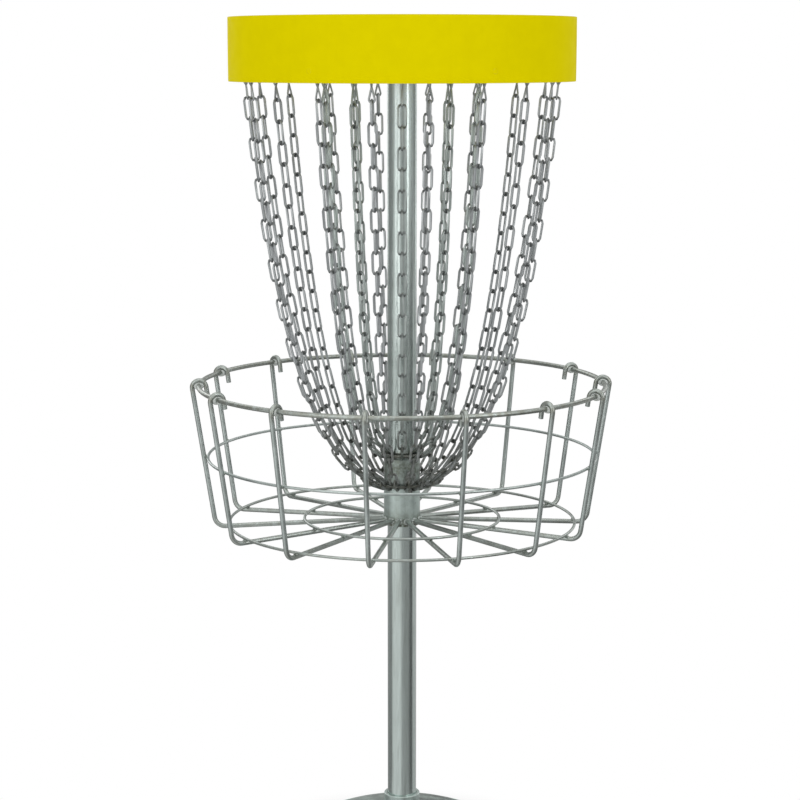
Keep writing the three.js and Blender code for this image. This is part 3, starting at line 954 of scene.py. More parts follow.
@dataclass
class Base:
    """A domed plate with a rolled flange, and a welded socket tube with its nut and lock bolt at the back."""

    flange: float = 12.0
    plate: float = 6.0
    edge_round: float = 2.4
    flange_round: float = 5.0
    fillet_out: float = 1.75
    fillet_in: float = 1.5
    fillet_rise: float = 0.9
    rim_inset: float = 2.0
    steps: int = 160
    dome_steps: int = 22
    sleeve_radius: float = SLEEVE_RADIUS
    wall: float = SLEEVE_WALL
    socket_floor: float = 4.0
    socket_steps: int = 96
    rim_chamfer: float = 0.9
    bead: float = 3.4
    bead_ripples: int = 46
    bolt_angle: float = 180.0
    bolt_across: float = 17.0
    bolt_radius: float = 5.0
    bolt_head: float = 6.4
    thread_pitch: float = 1.5
    thread_depth: float = 0.8

    def build(self) -> None:
        """Builds the plate, the socket, the weld, the nut and the bolt."""
        self.plate_piece()
        self.socket_piece()
        self.nut_piece()
        self.bolt_piece()

    def plate_piece(self) -> None:
        """Spins the domed plate with its rounded flange."""
        low, high = box_of("base_dome")
        edge = high.x - self.flange
        rise = high.z - self.plate
        dome = (edge ** 2 + rise ** 2) / (2 * rise)
        hole = self.sleeve_radius + SEAT_GAP
        inner_edge = edge - self.plate

        def height(radius: float) -> float:
            """The height of the dome's upper face at a radius."""
            return math.sqrt(dome ** 2 - radius ** 2) - dome + high.z

        outline = [(high.x - self.edge_round, 0.0)]
        outline += arc(high.x - self.edge_round, self.edge_round, self.edge_round, -60, 0, 3)
        outline += arc(high.x - self.edge_round, self.plate - self.edge_round, self.edge_round, 0, 90, 4)
        outline += [(edge + self.fillet_out, self.plate), (edge - self.fillet_in, height(edge) + self.fillet_rise)]
        upper = spread(edge - self.flange_round, hole, self.dome_steps)
        lower = spread(hole, inner_edge - self.rim_inset, self.dome_steps)
        outline += [(radius, height(radius)) for radius in upper]
        outline += [(radius, height(radius) - self.plate) for radius in lower]
        outline.append((inner_edge, 0.0))
        Piece("base_domed_plate", Rider.BASE, Slot.PLATE, PLATE, "base_dome").spun(outline, self.steps)

    def socket_piece(self) -> None:
        """Spins the socket tube, closed below, and runs the weld round it on the crown."""
        low, high = box_of("socket_tube")
        bore = self.sleeve_radius - self.wall
        outline = tube_outline(self.sleeve_radius, bore, low.z, high.z, self.rim_chamfer)[:-2]
        outline = [(0.0, low.z), *outline, (bore, low.z + self.socket_floor), (0.0, low.z + self.socket_floor)]
        sleeve = Piece("socket_sleeve", Rider.BASE, Slot.PIPE, HUB, "socket_tube")
        sleeve.spun(outline, self.socket_steps, closed=False)
        crown = box_of("base_dome")[1].z
        weld = Piece("socket_weld", Rider.BASE, Slot.PLATE, WELD)
        weld_bead(weld.bm, upright(self.sleeve_radius + 1.0, crown - 0.2), self.bead, self.bead_ripples)
        weld.done()

    def nut_piece(self) -> None:
        """Makes the nut that is welded on the socket."""
        low, high = box_of("lock_nut")
        middle = (low.z + high.z) / 2
        back = about_pole(self.bolt_angle)
        rng = random.Random(5)
        piece = Piece("socket_nut", Rider.BASE, Slot.FASTENER, FASTENER, "lock_nut")
        nut = hexagon(self.bolt_across, high.y - low.y, self.bolt_radius + SEAT_GAP)
        insert(piece.bm, nut, back @ frame_along(upright(low.y, middle), OUT, ASIDE))
        piece.done()
        weld = Piece("socket_nut_weld", Rider.BASE, Slot.PLATE, WELD)
        for turn in range(0, 360, 60):
            place = Matrix.Translation((low.y - 0.2, 0, middle)) @ Matrix.Rotation(math.radians(turn), 4, "X")
            spot = place @ Matrix.Translation((0, 0, self.bolt_across / 2))
            weld_spot(weld.bm, rng, back @ spot, Vector((1.8, 4.2, 1.4)))
        weld.done()

    def bolt_piece(self) -> None:
        """Turns the lock bolt's threaded shank and sets its head on it."""
        low, high = box_of("lock_bolt")
        length = high.y - self.bolt_head - low.y
        root = self.bolt_radius - self.thread_depth
        shank = [(0.0, 0.0), (self.bolt_radius - 1.5, 0.0)]
        for ridge in range(int(length / self.thread_pitch)):
            foot = (ridge + 0.3) * self.thread_pitch
            shank += [(root, foot), (self.bolt_radius, foot + self.thread_pitch / 2)]
        shank += [(root, length), (0.0, length)]
        piece = Piece("lock_bolt_threaded", Rider.LOCK_BOLT, Slot.FASTENER, FASTENER, "lock_bolt")
        start = upright(low.y, (low.z + high.z) / 2)
        bolt(piece.bm, shank, self.bolt_across, self.bolt_head, start, about_pole(self.bolt_angle))
        piece.done()


@dataclass
class Mast:
    """The pole, its cap and the hub tube that carries the basket."""

    wall: float = 3.7
    sleeve_wall: float = SLEEVE_WALL
    chamfer: float = 0.8
    steps: int = 96
    cap_height: float = 3.0
    cap_round: float = 1.4
    plug_wall: float = 2.0
    pole_rings: int = 60
    hub_rings: int = 12

    def build(self) -> None:
        """Builds the pole, the cap and the hub tube."""
        self.tube("pole_pipe", PIPE, "pole", self.wall, self.pole_rings)
        self.cap_piece()
        self.tube("hub_sleeve", HUB, "hub_tube", self.sleeve_wall, self.hub_rings)

    def cap_piece(self) -> None:
        """Spins the cap, whose plug sits in the pole's end."""
        low, high = box_of("pole_cap")
        plug = high.x - self.wall - SEAT_GAP
        seat = high.z - self.cap_height
        outline = [(0.0, seat), (plug - self.plug_wall, seat), (plug - self.plug_wall, low.z), (plug, low.z)]
        outline += [(plug, seat), (high.x, seat)]
        outline += arc(high.x - self.cap_round, high.z - self.cap_round, self.cap_round, 0, 80, 4)
        outline += [(high.x * 0.55, high.z - 0.02), (0.0, high.z)]
        Piece("pole_end_cap", Rider.MAST, Slot.PIPE, PIPE, "pole_cap").spun(outline, self.steps, closed=False)

    def tube(self, name: str, finish: Finish, node: str, wall: float, rings: int) -> None:
        """Spins an open tube.

        Args:
            name: The piece's name.
            finish: Its finish.
            node: The CAD node that it stands for.
            wall: The thickness of its wall.
            rings: The number of steps along its outside.
        """
        low, high = box_of(node)
        outline = tube_outline(high.x, high.x - wall, low.z, high.z, self.chamfer, rings)
        Piece(name, Rider.MAST, Slot.PIPE, finish, node).spun(outline, self.steps)


@dataclass
class Cage:
    """The wire basket: bent rods with hooks over the rim, four rings and all their welds."""

    rods: int = 14
    phase: float = 16.2
    rod_radius: float = ROD_RADIUS
    thin_radius: float = THIN_RADIUS
    seat_gap: float = SEAT_GAP
    lean: float = 8.8
    floor_rise: float = 2.1
    depth: float = 238.2
    bend: float = 18.0
    hook_radius: float = 11.5
    hook_tail: float = 15.5
    hub_radius: float = SLEEVE_RADIUS
    tail_spread: Range = (-1.2, 0.6)
    web_radius: float = 8.8
    web_rise: Range = (1.8, 2.6)
    web_half: Range = (4.3, 4.7)
    web_squeeze: Range = (0.7, 0.78)
    rod_sides: int = 14
    ring_sides: int = 12
    ring_steps: int = 224
    rng: random.Random = field(default_factory=lambda: random.Random(11))

    def __post_init__(self) -> None:
        """Works out the rod's corner, its hook and the places of the rings, as the CAD does."""
        self.turns = turns_about_pole(self.rods, self.phase)
        lean = math.radians(self.lean)
        self.leg_up = upright(math.sin(lean), math.cos(lean))
        self.inward = upright(-math.cos(lean), math.sin(lean))
        self.rim = ring_line("rim_ring", self.rod_radius)
        self.mid = ring_line("mid_ring", self.thin_radius)
        self.outer_floor = ring_line("floor_ring_outer", self.thin_radius)
        self.inner_floor = ring_line("floor_ring_inner", self.thin_radius)
        reach = 2 * self.rod_radius + self.seat_gap - self.hook_radius
        self.hook_centre = self.rim + self.leg_up * reach
        self.leg_top = self.hook_centre - self.inward * self.hook_radius
        height = self.rim.z - self.depth
        self.corner = upright(self.leg_top.x + (height - self.leg_top.z) * math.tan(lean), height)

    def build(self) -> None:
        """Builds the rods, the rings and the welds."""
        for number, turn in enumerate(self.turns, start=1):
            self.rod_piece(number, turn)
        for name, node, line, wire in (
                ("rim_wire", "rim_ring", self.rim, self.rod_radius),
                ("mid_wire", "mid_ring", self.mid, self.thin_radius),
                ("floor_wire_outer", "floor_ring_outer", self.outer_floor, self.thin_radius),
                ("floor_wire_inner", "floor_ring_inner", self.inner_floor, self.thin_radius)):
            Piece(name, Rider.MAST, Slot.WIRE, ROD, node).ring(line, wire, self.ring_steps, self.ring_sides)
        self.rim_welds()
        self.ring_welds()
        self.hub_welds()

    def rod_piece(self, number: int, place: Matrix) -> None:
        """Bends one rod: spoke, floor corner, leg, hook and tail.

        Args:
            number: The rod's number from one.
            place: Its turn about the pole.
        """
        rise = math.radians(self.floor_rise)
        spoke_out = upright(math.cos(rise), -math.sin(rise))
        start_radius = self.hub_radius + self.seat_gap
        start = upright(start_radius, self.corner.z + (self.corner.x - start_radius) * math.tan(rise))
        bend_turn = 90 + self.floor_rise - self.lean
        reach = self.bend * math.tan(math.radians(bend_turn) / 2)
        node = f"cage_rod_{number:02d}"
        piece = Piece(f"bent_rod_{number:02d}", Rider.MAST, Slot.WIRE, ROD, node)
        wire = WireBender(piece.bm, self.rod_radius, self.rod_sides, start, spoke_out)
        wire.feed((self.corner - start).length - reach, 8)
        wire.curl(upright(math.sin(rise), math.cos(rise)), self.bend, bend_turn, 9)
        wire.feed((self.leg_top - self.corner).length - reach, 8)
        wire.curl(self.inward, self.hook_radius, 180, 16)
        wire.feed(self.hook_tail + self.rng.uniform(*self.tail_spread), 2)
        wire.cut(0.5)
        close_ends(piece.bm)
        bmesh.ops.transform(piece.bm, matrix=place, verts=piece.bm.verts)
        piece.done()

    def rim_welds(self) -> None:
        """Fills each hook round the rim with weld metal."""
        piece = Piece("rim_welds", Rider.MAST, Slot.WIRE, FILL)
        for turn in self.turns:
            web = self.hook_centre + self.leg_up * self.rng.uniform(*self.web_rise)
            half = self.rng.uniform(*self.web_half)
            upper = [(8.2, half - 1.4), (5.6, half - 0.3), (0.0, half)]
            lower = [(radius, -height) for radius, height in reversed(upper)]
            coin = bmesh.new()
            turned(coin, [*lower, (self.web_radius, 0.0), *upper], 20, closed=False)
            bmesh.ops.scale(coin, vec=(self.rng.uniform(*self.web_squeeze), 1.0, 1.0), verts=coin.verts)
            insert(piece.bm, coin, turn @ frame_along(web, ASIDE, self.leg_up))
            for side in (-1, 1):
                spot = self.rim + self.inward * side * 4.2 - self.leg_up * 1.6
                beside = spot + ASIDE * self.rng.uniform(-1.0, 1.0)
                size = Vector((2.6, self.rng.uniform(4.4, 5.6), 3.0))
                weld_spot(piece.bm, self.rng, turn @ frame_along(beside, self.leg_up, -self.inward), size, 0.06)
        piece.done()

    def ring_welds(self) -> None:
        """Puts weld spots where the thin rings lie on the rods."""
        piece = Piece("ring_welds", Rider.MAST, Slot.WIRE, WELD)
        rise = math.radians(self.floor_rise)
        down = upright(-math.sin(rise), -math.cos(rise))
        for turn in self.turns:
            for ring, to_rod, along in ((self.mid, -self.inward, self.leg_up),
                                        (self.outer_floor, down, OUT),
                                        (self.inner_floor, down, OUT)):
                for side in (-1, 1):
                    shift = ASIDE * side * self.rng.uniform(1.6, 2.8) + along * self.rng.uniform(-1.0, 1.0)
                    spot = ring + to_rod * (self.thin_radius + 0.2) + shift
                    size = Vector((self.rng.uniform(2.6, 3.6), self.rng.uniform(1.8, 2.8), 1.5))
                    weld_spot(piece.bm, self.rng, turn @ frame_along(spot, -to_rod, along), size)
        piece.done()

    def hub_welds(self) -> None:
        """Puts a ragged weld round each spoke's end on the hub tube, and a dark blob under it as painted shade."""
        piece = Piece("hub_welds", Rider.MAST, Slot.WIRE, BEAD)
        underside_shade = Piece("hub_weld_painted_shade", Rider.MAST, Slot.WIRE, PAINTED_WELD_SHADE)
        height = self.corner.z + (self.corner.x - self.hub_radius) * math.tan(math.radians(self.floor_rise))
        for turn in self.turns:
            for part in range(7):
                round_rod = math.radians(part * 360 / 7 + self.rng.uniform(-12, 12))
                reach = self.rod_radius + self.rng.uniform(-0.3, 0.6)
                spot = upright(self.hub_radius + 0.6, height) + ASIDE * reach * math.cos(round_rod)
                spot += UP * reach * math.sin(round_rod)
                size = Vector((self.rng.uniform(2.0, 3.4), 2.6, self.rng.uniform(1.8, 2.8)))
                weld_spot(piece.bm, self.rng, turn @ frame_along(spot, UP, OUT), size)
            # A dark blob under the spoke, as painted shade.
            under = upright(self.hub_radius + 0.4, height - self.rod_radius - 1.2)
            size = Vector((3.0, self.rng.uniform(3.2, 5.0), self.rng.uniform(2.0, 2.8)))
            weld_spot(underside_shade.bm, self.rng, turn @ frame_along(under, UP, OUT), size)
        piece.done()
        underside_shade.done()


@dataclass
class Rack:
    """The collar on the pole, its arms, the band's hoop and the two hoops of the chains."""

    arms: int = 6
    phase: float = 30.0
    rod_radius: float = ROD_RADIUS
    sleeve_radius: float = SLEEVE_RADIUS
    sleeve_bore: float = 24.45
    band_hoop: float = 275.23
    collar_chamfer: float = 0.9
    collar_steps: int = 72
    rod_sides: int = 12
    ring_steps: int = 160
    bolt_across: float = 13.0
    bolt_head: float = 5.3
    bolt_radius: float = 4.0
    rng: random.Random = field(default_factory=lambda: random.Random(23))

    def __post_init__(self) -> None:
        """Reads the hoops' places from the frame."""
        self.turns = turns_about_pole(self.arms, self.phase)
        self.outer = ring_line("outer_hoop", self.rod_radius)
        self.inner = ring_line("inner_hoop", self.rod_radius)
        low, high = box_of("rack_frame")
        self.collar_bottom = low.z
        self.collar_top = high.z
        self.arm_height = self.outer.z + 2 * self.rod_radius + SEAT_GAP

    def build(self) -> None:
        """Builds the frame, the hoops, the welds and the clamp bolt."""
        self.frame_piece()
        for name, node, line in (("outer_hoop_wire", "outer_hoop", self.outer),
                                 ("inner_hoop_wire", "inner_hoop", self.inner)):
            ring = Piece(name, Rider.MAST, Slot.WIRE, ROD, node)
            ring.ring(line, self.rod_radius, self.ring_steps, self.rod_sides)
        self.weld_piece()
        self.bolt_piece()

    def frame_piece(self) -> None:
        """Makes the collar, the arms and the band's hoop as one welded piece."""
        piece = Piece("rack_welded_frame", Rider.MAST, Slot.WIRE, ROD, "rack_frame")
        outline = tube_outline(self.sleeve_radius, self.sleeve_bore, self.collar_bottom, self.collar_top,
                               self.collar_chamfer)
        turned(piece.bm, outline, self.collar_steps)
        band_line = upright(self.band_hoop, self.arm_height)
        wire_ring(piece.bm, band_line, self.rod_radius, self.ring_steps, self.rod_sides)
        for turn in self.turns:
            part = bmesh.new()
            start = upright(self.sleeve_bore + 3, self.arm_height)
            wire = WireBender(part, self.rod_radius, self.rod_sides, start, OUT)
            wire.feed(self.band_hoop - self.sleeve_bore - 5, 4).cut(0.4)
            close_ends(part)
            insert(piece.bm, part, turn)
        piece.done()

    def weld_piece(self) -> None:
        """Puts weld metal where the arms meet the collar and the three hoops."""
        piece = Piece("rack_welds", Rider.MAST, Slot.WIRE, WELD)
        for turn in self.turns:
            for part in range(6):
                round_arm = math.radians(part * 60 + self.rng.uniform(-10, 10))
                spot = upright(self.sleeve_radius + 0.6, self.arm_height)
                spot += (ASIDE * math.cos(round_arm) + UP * math.sin(round_arm)) * (self.rod_radius + 0.2)
                size = Vector((2.2, 2.4, self.rng.uniform(1.6, 2.3)))
                weld_spot(piece.bm, self.rng, turn @ frame_along(spot, UP, OUT), size)
            for hoop in (self.outer, self.inner):
                for side in (-1, 1):
                    spot = hoop + UP * (self.rod_radius + 0.1) + ASIDE * side * 2.6
                    size = Vector((self.rng.uniform(3.0, 4.2), 2.4, 2.0))
                    weld_spot(piece.bm, self.rng, turn @ frame_along(spot, UP, OUT), size)
            spot = upright(self.band_hoop - self.rod_radius, self.arm_height)
            weld_spot(piece.bm, self.rng, turn @ frame_along(spot, UP, OUT), Vector((2.2, 5.4, 4.0)))
        piece.done()

    def bolt_piece(self) -> None:
        """Makes the bolt that clamps the collar."""
        low, high = box_of("rack_bolt")
        length = high.x - self.bolt_head - low.x
        shank = [(0.0, 0.0), (self.bolt_radius - 1, 0.0), (self.bolt_radius, 1.0)]
        shank += [(self.bolt_radius, length), (0.0, length)]
        piece = Piece("rack_clamp_bolt", Rider.MAST, Slot.FASTENER, FASTENER, "rack_bolt")
        start = upright(low.x, (low.z + high.z) / 2)
        bolt(piece.bm, shank, self.bolt_across, self.bolt_head, start, about_pole(90))
        piece.done()


@dataclass
class Band:
    """The yellow sheet band with its riveted seam at the back and flush rivets on its hoop."""

    sheet: float = 1.5
    steps: int = 288
    height_steps: int = 14
    ripple: float = 0.35
    seam_width: float = 34.0
    seam_gap: float = 0.25
    seam_inset: float = 0.4
    rivet_radius: float = 4.2
    rivet_height: float = 1.5
    flush_height: float = 0.5

    def __post_init__(self) -> None:
        """Reads the band's place from the frame."""
        low, high = box_of("band")
        self.radius = high.x
        self.bottom = low.z
        self.top = high.z

    def build(self) -> None:
        """Builds the sheet, the seam strip and the rivets."""
        self.sheet_piece()
        self.seam_piece()
        self.rivet_pieces()

    def sheet_piece(self) -> None:
        """Rolls the sheet, with a slight ripple and rounded edges."""
        piece = Piece("band_sheet", Rider.MAST, Slot.BAND, COAT, "band")
        round_off = self.sheet / 2
        heights = spread(self.bottom + round_off, self.top - round_off, self.height_steps)
        outline = [(self.radius, height) for height in heights]
        outline += arc(self.radius - round_off, self.top - round_off, round_off, 45, 135, 2)
        outline += [(self.radius - self.sheet, height) for height in reversed(heights)]
        outline += arc(self.radius - round_off, self.bottom + round_off, round_off, 225, 315, 2)
        turned(piece.bm, outline, self.steps)
        for vert in piece.bm.verts:
            angle = math.atan2(vert.co.y, vert.co.x)
            share = (vert.co.z - self.bottom) / (self.top - self.bottom)
            wave = math.sin(3 * angle + 0.7) * 0.5 + math.sin(7 * angle + 2.1 * share) * 0.3
            swell = 1 + self.ripple * (wave + 0.5 * math.sin(math.pi * share)) / self.radius
            vert.co.x *= swell
            vert.co.y *= swell
        piece.done()

    def seam_piece(self) -> None:
        """Lays the sheet's overlapping end over the back of the band."""
        piece = Piece("band_seam", Rider.MAST, Slot.BAND, COAT)
        inner = self.radius + self.seam_gap
        bottom, top = self.bottom + self.seam_inset, self.top - self.seam_inset
        outline = [(inner, bottom), (inner + self.sheet, bottom), (inner + self.sheet, top), (inner, top)]
        verts = [piece.bm.verts.new((radius, 0.0, height)) for radius, height in outline]
        face = piece.bm.faces.new(verts)
        angle = self.seam_width / self.radius
        bmesh.ops.rotate(piece.bm, verts=verts, cent=(0, 0, 0), matrix=Matrix.Rotation(-angle / 2, 3, "Z"))
        bmesh.ops.spin(piece.bm, geom=[face], cent=(0, 0, 0), axis=UP, dvec=(0, 0, 0), angle=angle, steps=10,
                       use_duplicate=False)
        bmesh.ops.contextual_create(piece.bm, geom=[edge for edge in piece.bm.edges if edge.is_boundary])
        bmesh.ops.recalc_face_normals(piece.bm, faces=piece.bm.faces)
        sharp = [edge for edge in piece.bm.edges if edge.calc_face_angle(0.0) > CREASE]
        bmesh.ops.bevel(piece.bm, geom=sharp, offset=0.4, segments=2, profile=0.5, affect="EDGES", material=-1)
        bmesh.ops.transform(piece.bm, matrix=about_pole(180), verts=piece.bm.verts)
        piece.done()

    def rivet(self, height: float) -> Stamp:
        """A rivet's head on Z.

        Args:
            height: How far the head stands out.

        Returns:
            The stamp.
        """
        def draw(bm: Mesh) -> None:
            """Turns the head."""
            outline = [(0.0, -0.6), (self.rivet_radius, -0.6)]
            for step in range(6):
                turn = math.radians(18 * step)
                outline.append((self.rivet_radius * math.cos(turn), height * math.sin(turn)))
            outline[-1] = (0.0, height)
            turned(bm, outline, 20, closed=False)

        return Stamp(draw)

    def rivet_pieces(self) -> None:
        """Sets bare rivets down the seam and painted flush ones along the hoop."""
        seam = Piece("band_seam_rivets", Rider.MAST, Slot.FASTENER, FASTENER)
        head = self.rivet(self.rivet_height)
        outside = self.radius + self.seam_gap + self.sheet
        inside = self.radius - self.sheet
        for share in (0.12, 0.37, 0.63, 0.88):
            height = self.bottom + (self.top - self.bottom) * share
            for radius, heading in ((outside, OUT), (inside, -OUT)):
                place = about_pole(180) @ frame_along(upright(radius, height), heading, ASIDE)
                head.press(seam.bm, place)
        seam.done()
        head.drop()
        hoop = Piece("band_hoop_rivets", Rider.MAST, Slot.BAND, COAT)
        flush = self.rivet(self.flush_height)
        hoop_height = box_of("outer_hoop")[1].z + 4.3
        for turn in turns_about_pole(6, 30):
            flush.press(hoop.bm, turn @ frame_along(upright(self.radius, hoop_height), OUT, ASIDE))
        hoop.done()
        flush.drop()


class Catenary:
    """A chain of a given length between a low end and a high one, in the plane of X and Z."""

    def __init__(self, low: Vector, high: Vector, length: float) -> None:
        """Finds the curve.

        Args:
            low: The low end.
            high: The high end.
            length: The chain's length.
        """
        run, rise = high.x - low.x, high.z - low.z
        slack = math.sqrt(length ** 2 - rise ** 2)
        small, large = run / 20, run * 20
        for _ in range(60):
            middle = (small + large) / 2
            if 2 * middle * math.sinh(run / (2 * middle)) > slack:
                small = middle
            else:
                large = middle
        self.low = low
        self.length = length
        self.scale = large
        self.start = math.atanh(rise / length) - run / (2 * large)

    def turn_at(self, distance: float) -> float:
        """The curve's parameter at a distance from its low end."""
        return math.asinh(math.sinh(self.start) + distance / self.scale)

    def point(self, distance: float) -> Vector:
        """The point at a distance from its low end."""
        turn = self.turn_at(distance)
        return self.low + upright(self.scale * (turn - self.start),
                                  self.scale * (math.cosh(turn) - math.cosh(self.start)))

    def heading(self, distance: float) -> Vector:
        """The direction towards the high end."""
        return upright(1.0, math.sinh(self.turn_at(distance))).normalized()


@dataclass
class ChainRow:
    """A row of equal chains between a gather ring and a hoop."""

    stem: str
    count: int
    phase: float
    slack_share: float
    links: int
    seed: int
    hook_twist: float
    finish: ChainFinish
    wire: float = 2.2
    width: float = 16.8
    link_pitch: float = 33.0
    gather_wire: float = 3.0
    rod_radius: float = ROD_RADIUS
    swing_gap: float = 0.4
    hook_wire: float = 1.7
    hook_loop: float = 5.4
    roll: float = 8.0

    def __post_init__(self) -> None:
        """Hangs the catenary as the CAD does and works out the pitch of the real links on it."""
        self.rng = random.Random(self.seed)
        ring = ring_line(f"{self.stem}_gather_ring", self.gather_wire)
        hoop = ring_line(f"{self.stem}_hoop", self.rod_radius)
        length = (hoop - ring).length * self.slack_share
        low, high = ring, hoop
        for _ in range(12):
            curve = Catenary(low, high, length)
            low = ring + curve.heading(0) * (self.gather_wire + self.swing_gap)
            high = hoop - curve.heading(length) * (self.rod_radius + self.swing_gap)
        self.curve = Catenary(low, high, length)
        first = ring - self.curve.heading(0) * self.gather_wire
        self.wrap = (low - first).length
        self.pitch = (self.links * self.link_pitch + self.wrap) / self.links
        self.hook_foot = self.curve.point(self.links * self.link_pitch)
        self.hook_top = hoop + self.curve.heading(length) * self.rod_radius

    def joint(self, index: int) -> Vector:
        """Where a link bears on the one below it, counted from the gather ring."""
        distance = index * self.pitch - self.wrap
        if distance < 0:
            return self.curve.low + self.curve.heading(0) * distance
        return self.curve.point(distance)

    def link_stamp(self) -> Stamp:
        """One oblong link with round ends, on Z.

        Returns:
            The stamp, with a grime attribute that is high at the ends.
        """
        bend = self.width / 2 - self.wire
        straight = self.pitch + 2 * self.wire - 2 * bend

        def draw(bm: Mesh) -> None:
            """Bends the link."""
            bend_link(bm, self.wire, bend, straight, 6, 4)
            self.age(bm, straight * 0.42, straight / 2 + bend * 0.8)

        return Stamp(draw)

    def hook_stamp(self) -> Stamp:
        """The closed hook from the top link round the hoop, on Z, as two drop-shaped loops that meet.

        Returns:
            The stamp.
        """
        length = (self.hook_top - self.hook_foot).length
        neck = length * 0.52
        top_loop = self.rod_radius + self.hook_wire + 0.9

        def draw(bm: Mesh) -> None:
            """Bends both loops."""
            for flip, reach, loop in ((1, neck, self.hook_loop - self.hook_wire / 2), (-1, length - neck, top_loop)):
                part = bmesh.new()
                centre = loop - self.hook_wire
                distance = reach - centre
                lean = math.asin(loop / distance)
                straight = math.sqrt(distance ** 2 - loop ** 2)
                heading = Vector((math.sin(lean), 0, -math.cos(lean)))
                inwards = Vector((-math.cos(lean), 0, -math.sin(lean)))
                wire = WireBender(part, self.hook_wire, 6, UP * reach, heading)
                wire.feed(straight).curl(inwards, loop, 180 + 2 * math.degrees(lean), 8).feed(straight)
                close_ends(part)
                turn = Matrix.Identity(4) if flip > 0 else (
                    Matrix.Translation(UP * length) @ Matrix.Rotation(math.pi, 4, "X")
                    @ Matrix.Rotation(math.radians(self.hook_twist), 4, "Z"))
                insert(bm, part, turn)
            self.age(bm, -length, length * 2)

        return Stamp(draw)

    @staticmethod
    def age(bm: Mesh, clean: float, dark: float) -> None:
        """Writes the tone and grime attributes of a link or hook.

        Args:
            bm: The mesh.
            clean: The height from its middle up to which it is clean.
            dark: The height at which it is darkest.
        """
        tone = bm.verts.layers.float.new("tone")
        grime = bm.verts.layers.float.new("grime")
        for vert in bm.verts:
            vert[tone] = 0.5
            vert[grime] = min(max((abs(vert.co.z) - clean) / (dark - clean), 0.0), 1.0) * 0.9

    def build(self) -> None:
        """Builds each chain as one piece on its own body."""
        link = self.link_stamp()
        hook = self.hook_stamp()
        for number, turn in enumerate(turns_about_pole(self.count, self.phase), start=1):
            body = f"{self.stem}_chain_{number:02d}"
            piece = Piece(f"{self.stem}_chain_links_{number:02d}", body, Slot.CHAIN, self.finish, body)
            drift = self.rng.uniform(-6, 6)
            for link_number in range(self.links):
                low, high = self.joint(link_number), self.joint(link_number + 1)
                sway = drift * math.sin(link_number * 0.35) + self.rng.uniform(-self.roll, self.roll)
                held = link_number in (0, self.links - 1)
                roll = 90 * (link_number % 2) + (0.0 if held else sway)
                middle = frame_along((low + high) / 2, high - low, OUT)
                place = turn @ middle @ Matrix.Rotation(math.radians(roll), 4, "Z")
                link.press(piece.bm, place, self.rng.uniform(0.0, 1.0))
            hook_frame = frame_along(self.hook_foot, self.hook_top - self.hook_foot, OUT)
            low_turn = Matrix.Rotation(math.radians(90 * (self.links % 2)), 4, "Z")
            hook.press(piece.bm, turn @ hook_frame @ low_turn, 0.25)
            piece.done()
        link.drop()
        hook.drop()


@dataclass
class Gather:
    """The two rings that gather the chains, and a spare joining link on the lower one."""

    wire: float = 3.0
    link_angle: float = 19.5
    link_turn: float = 58.0
    link_wire: float = 2.2
    link_bend: float = 6.2
    link_straight: float = 24.0

    def build(self) -> None:
        """Builds the rings and the joining link."""
        for stem in ("outer", "inner"):
            piece = Piece(f"{stem}_gather_wire", Rider.MAST, Slot.CHAIN, GATHER, f"{stem}_gather_ring")
            line = ring_line(f"{stem}_gather_ring", self.wire)
            part = bmesh.new()
            wire_ring(part, line, self.wire, 96, 10)
            bmesh.ops.remove_doubles(part, verts=part.verts, dist=WELD_DISTANCE)
            place = about_pole(200) @ Matrix.Translation(line)
            weld_spot(part, random.Random(3), place, Vector((3.5, 3.6, 3.5)), 0.05)
            ChainRow.age(part, 0.0, line.z)
            insert(piece.bm, part, Matrix.Identity(4))
            piece.done()
        self.joining_link()

    def joining_link(self) -> None:
        """Hangs a loose link on the lower ring, leaning on the hub tube."""
        line = ring_line("outer_gather_ring", self.wire)
        piece = Piece("joining_link", Rider.MAST, Slot.CHAIN, LINK)
        part = bmesh.new()
        bend = self.link_bend
        bend_link(part, self.link_wire, bend, self.link_straight, 8, 8)
        ChainRow.age(part, self.link_straight / 2, self.link_straight)
        lean = Matrix.Rotation(math.radians(self.link_turn - 90), 4, "Z") @ Matrix.Rotation(math.radians(5), 4, "X")
        insert(piece.bm, part, about_pole(self.link_angle) @ Matrix.Translation(line + UP * 7.0) @ lean)
        piece.done()


# Studio


@dataclass(frozen=True)
class Panel:
    """A pale panel that metal mirrors, by its heading, half width and soft edge in degrees, and its level."""

    heading: float
    half_width: float
    soft_edge: float
    level: float


@dataclass(frozen=True)
class SoftBox:
    """A soft box that faces the object, by its angle in degrees, its sizes in metres and its power in watts."""

    name: str
    angle: float
    height: float
    distance: float
    width: float
    length: float
    power: float

    def hang(self, aim: Vector) -> None:
        """Adds the lamp.

        Args:
            aim: The point that it faces.
        """
        data = bpy.data.lights.new(self.name, "AREA")
        data.shape = "RECTANGLE"
        data.size = self.width
        data.size_y = self.length
        data.energy = self.power
        lamp = bpy.data.objects.new(self.name, data)
        turn = math.radians(self.angle)
        place = Vector((math.sin(turn) * self.distance, -math.cos(turn) * self.distance, self.height))
        lamp.location = place
        lamp.rotation_euler = (aim - place).to_track_quat("-Z", "Y").to_euler()
        bpy.context.scene.collection.objects.link(lamp)


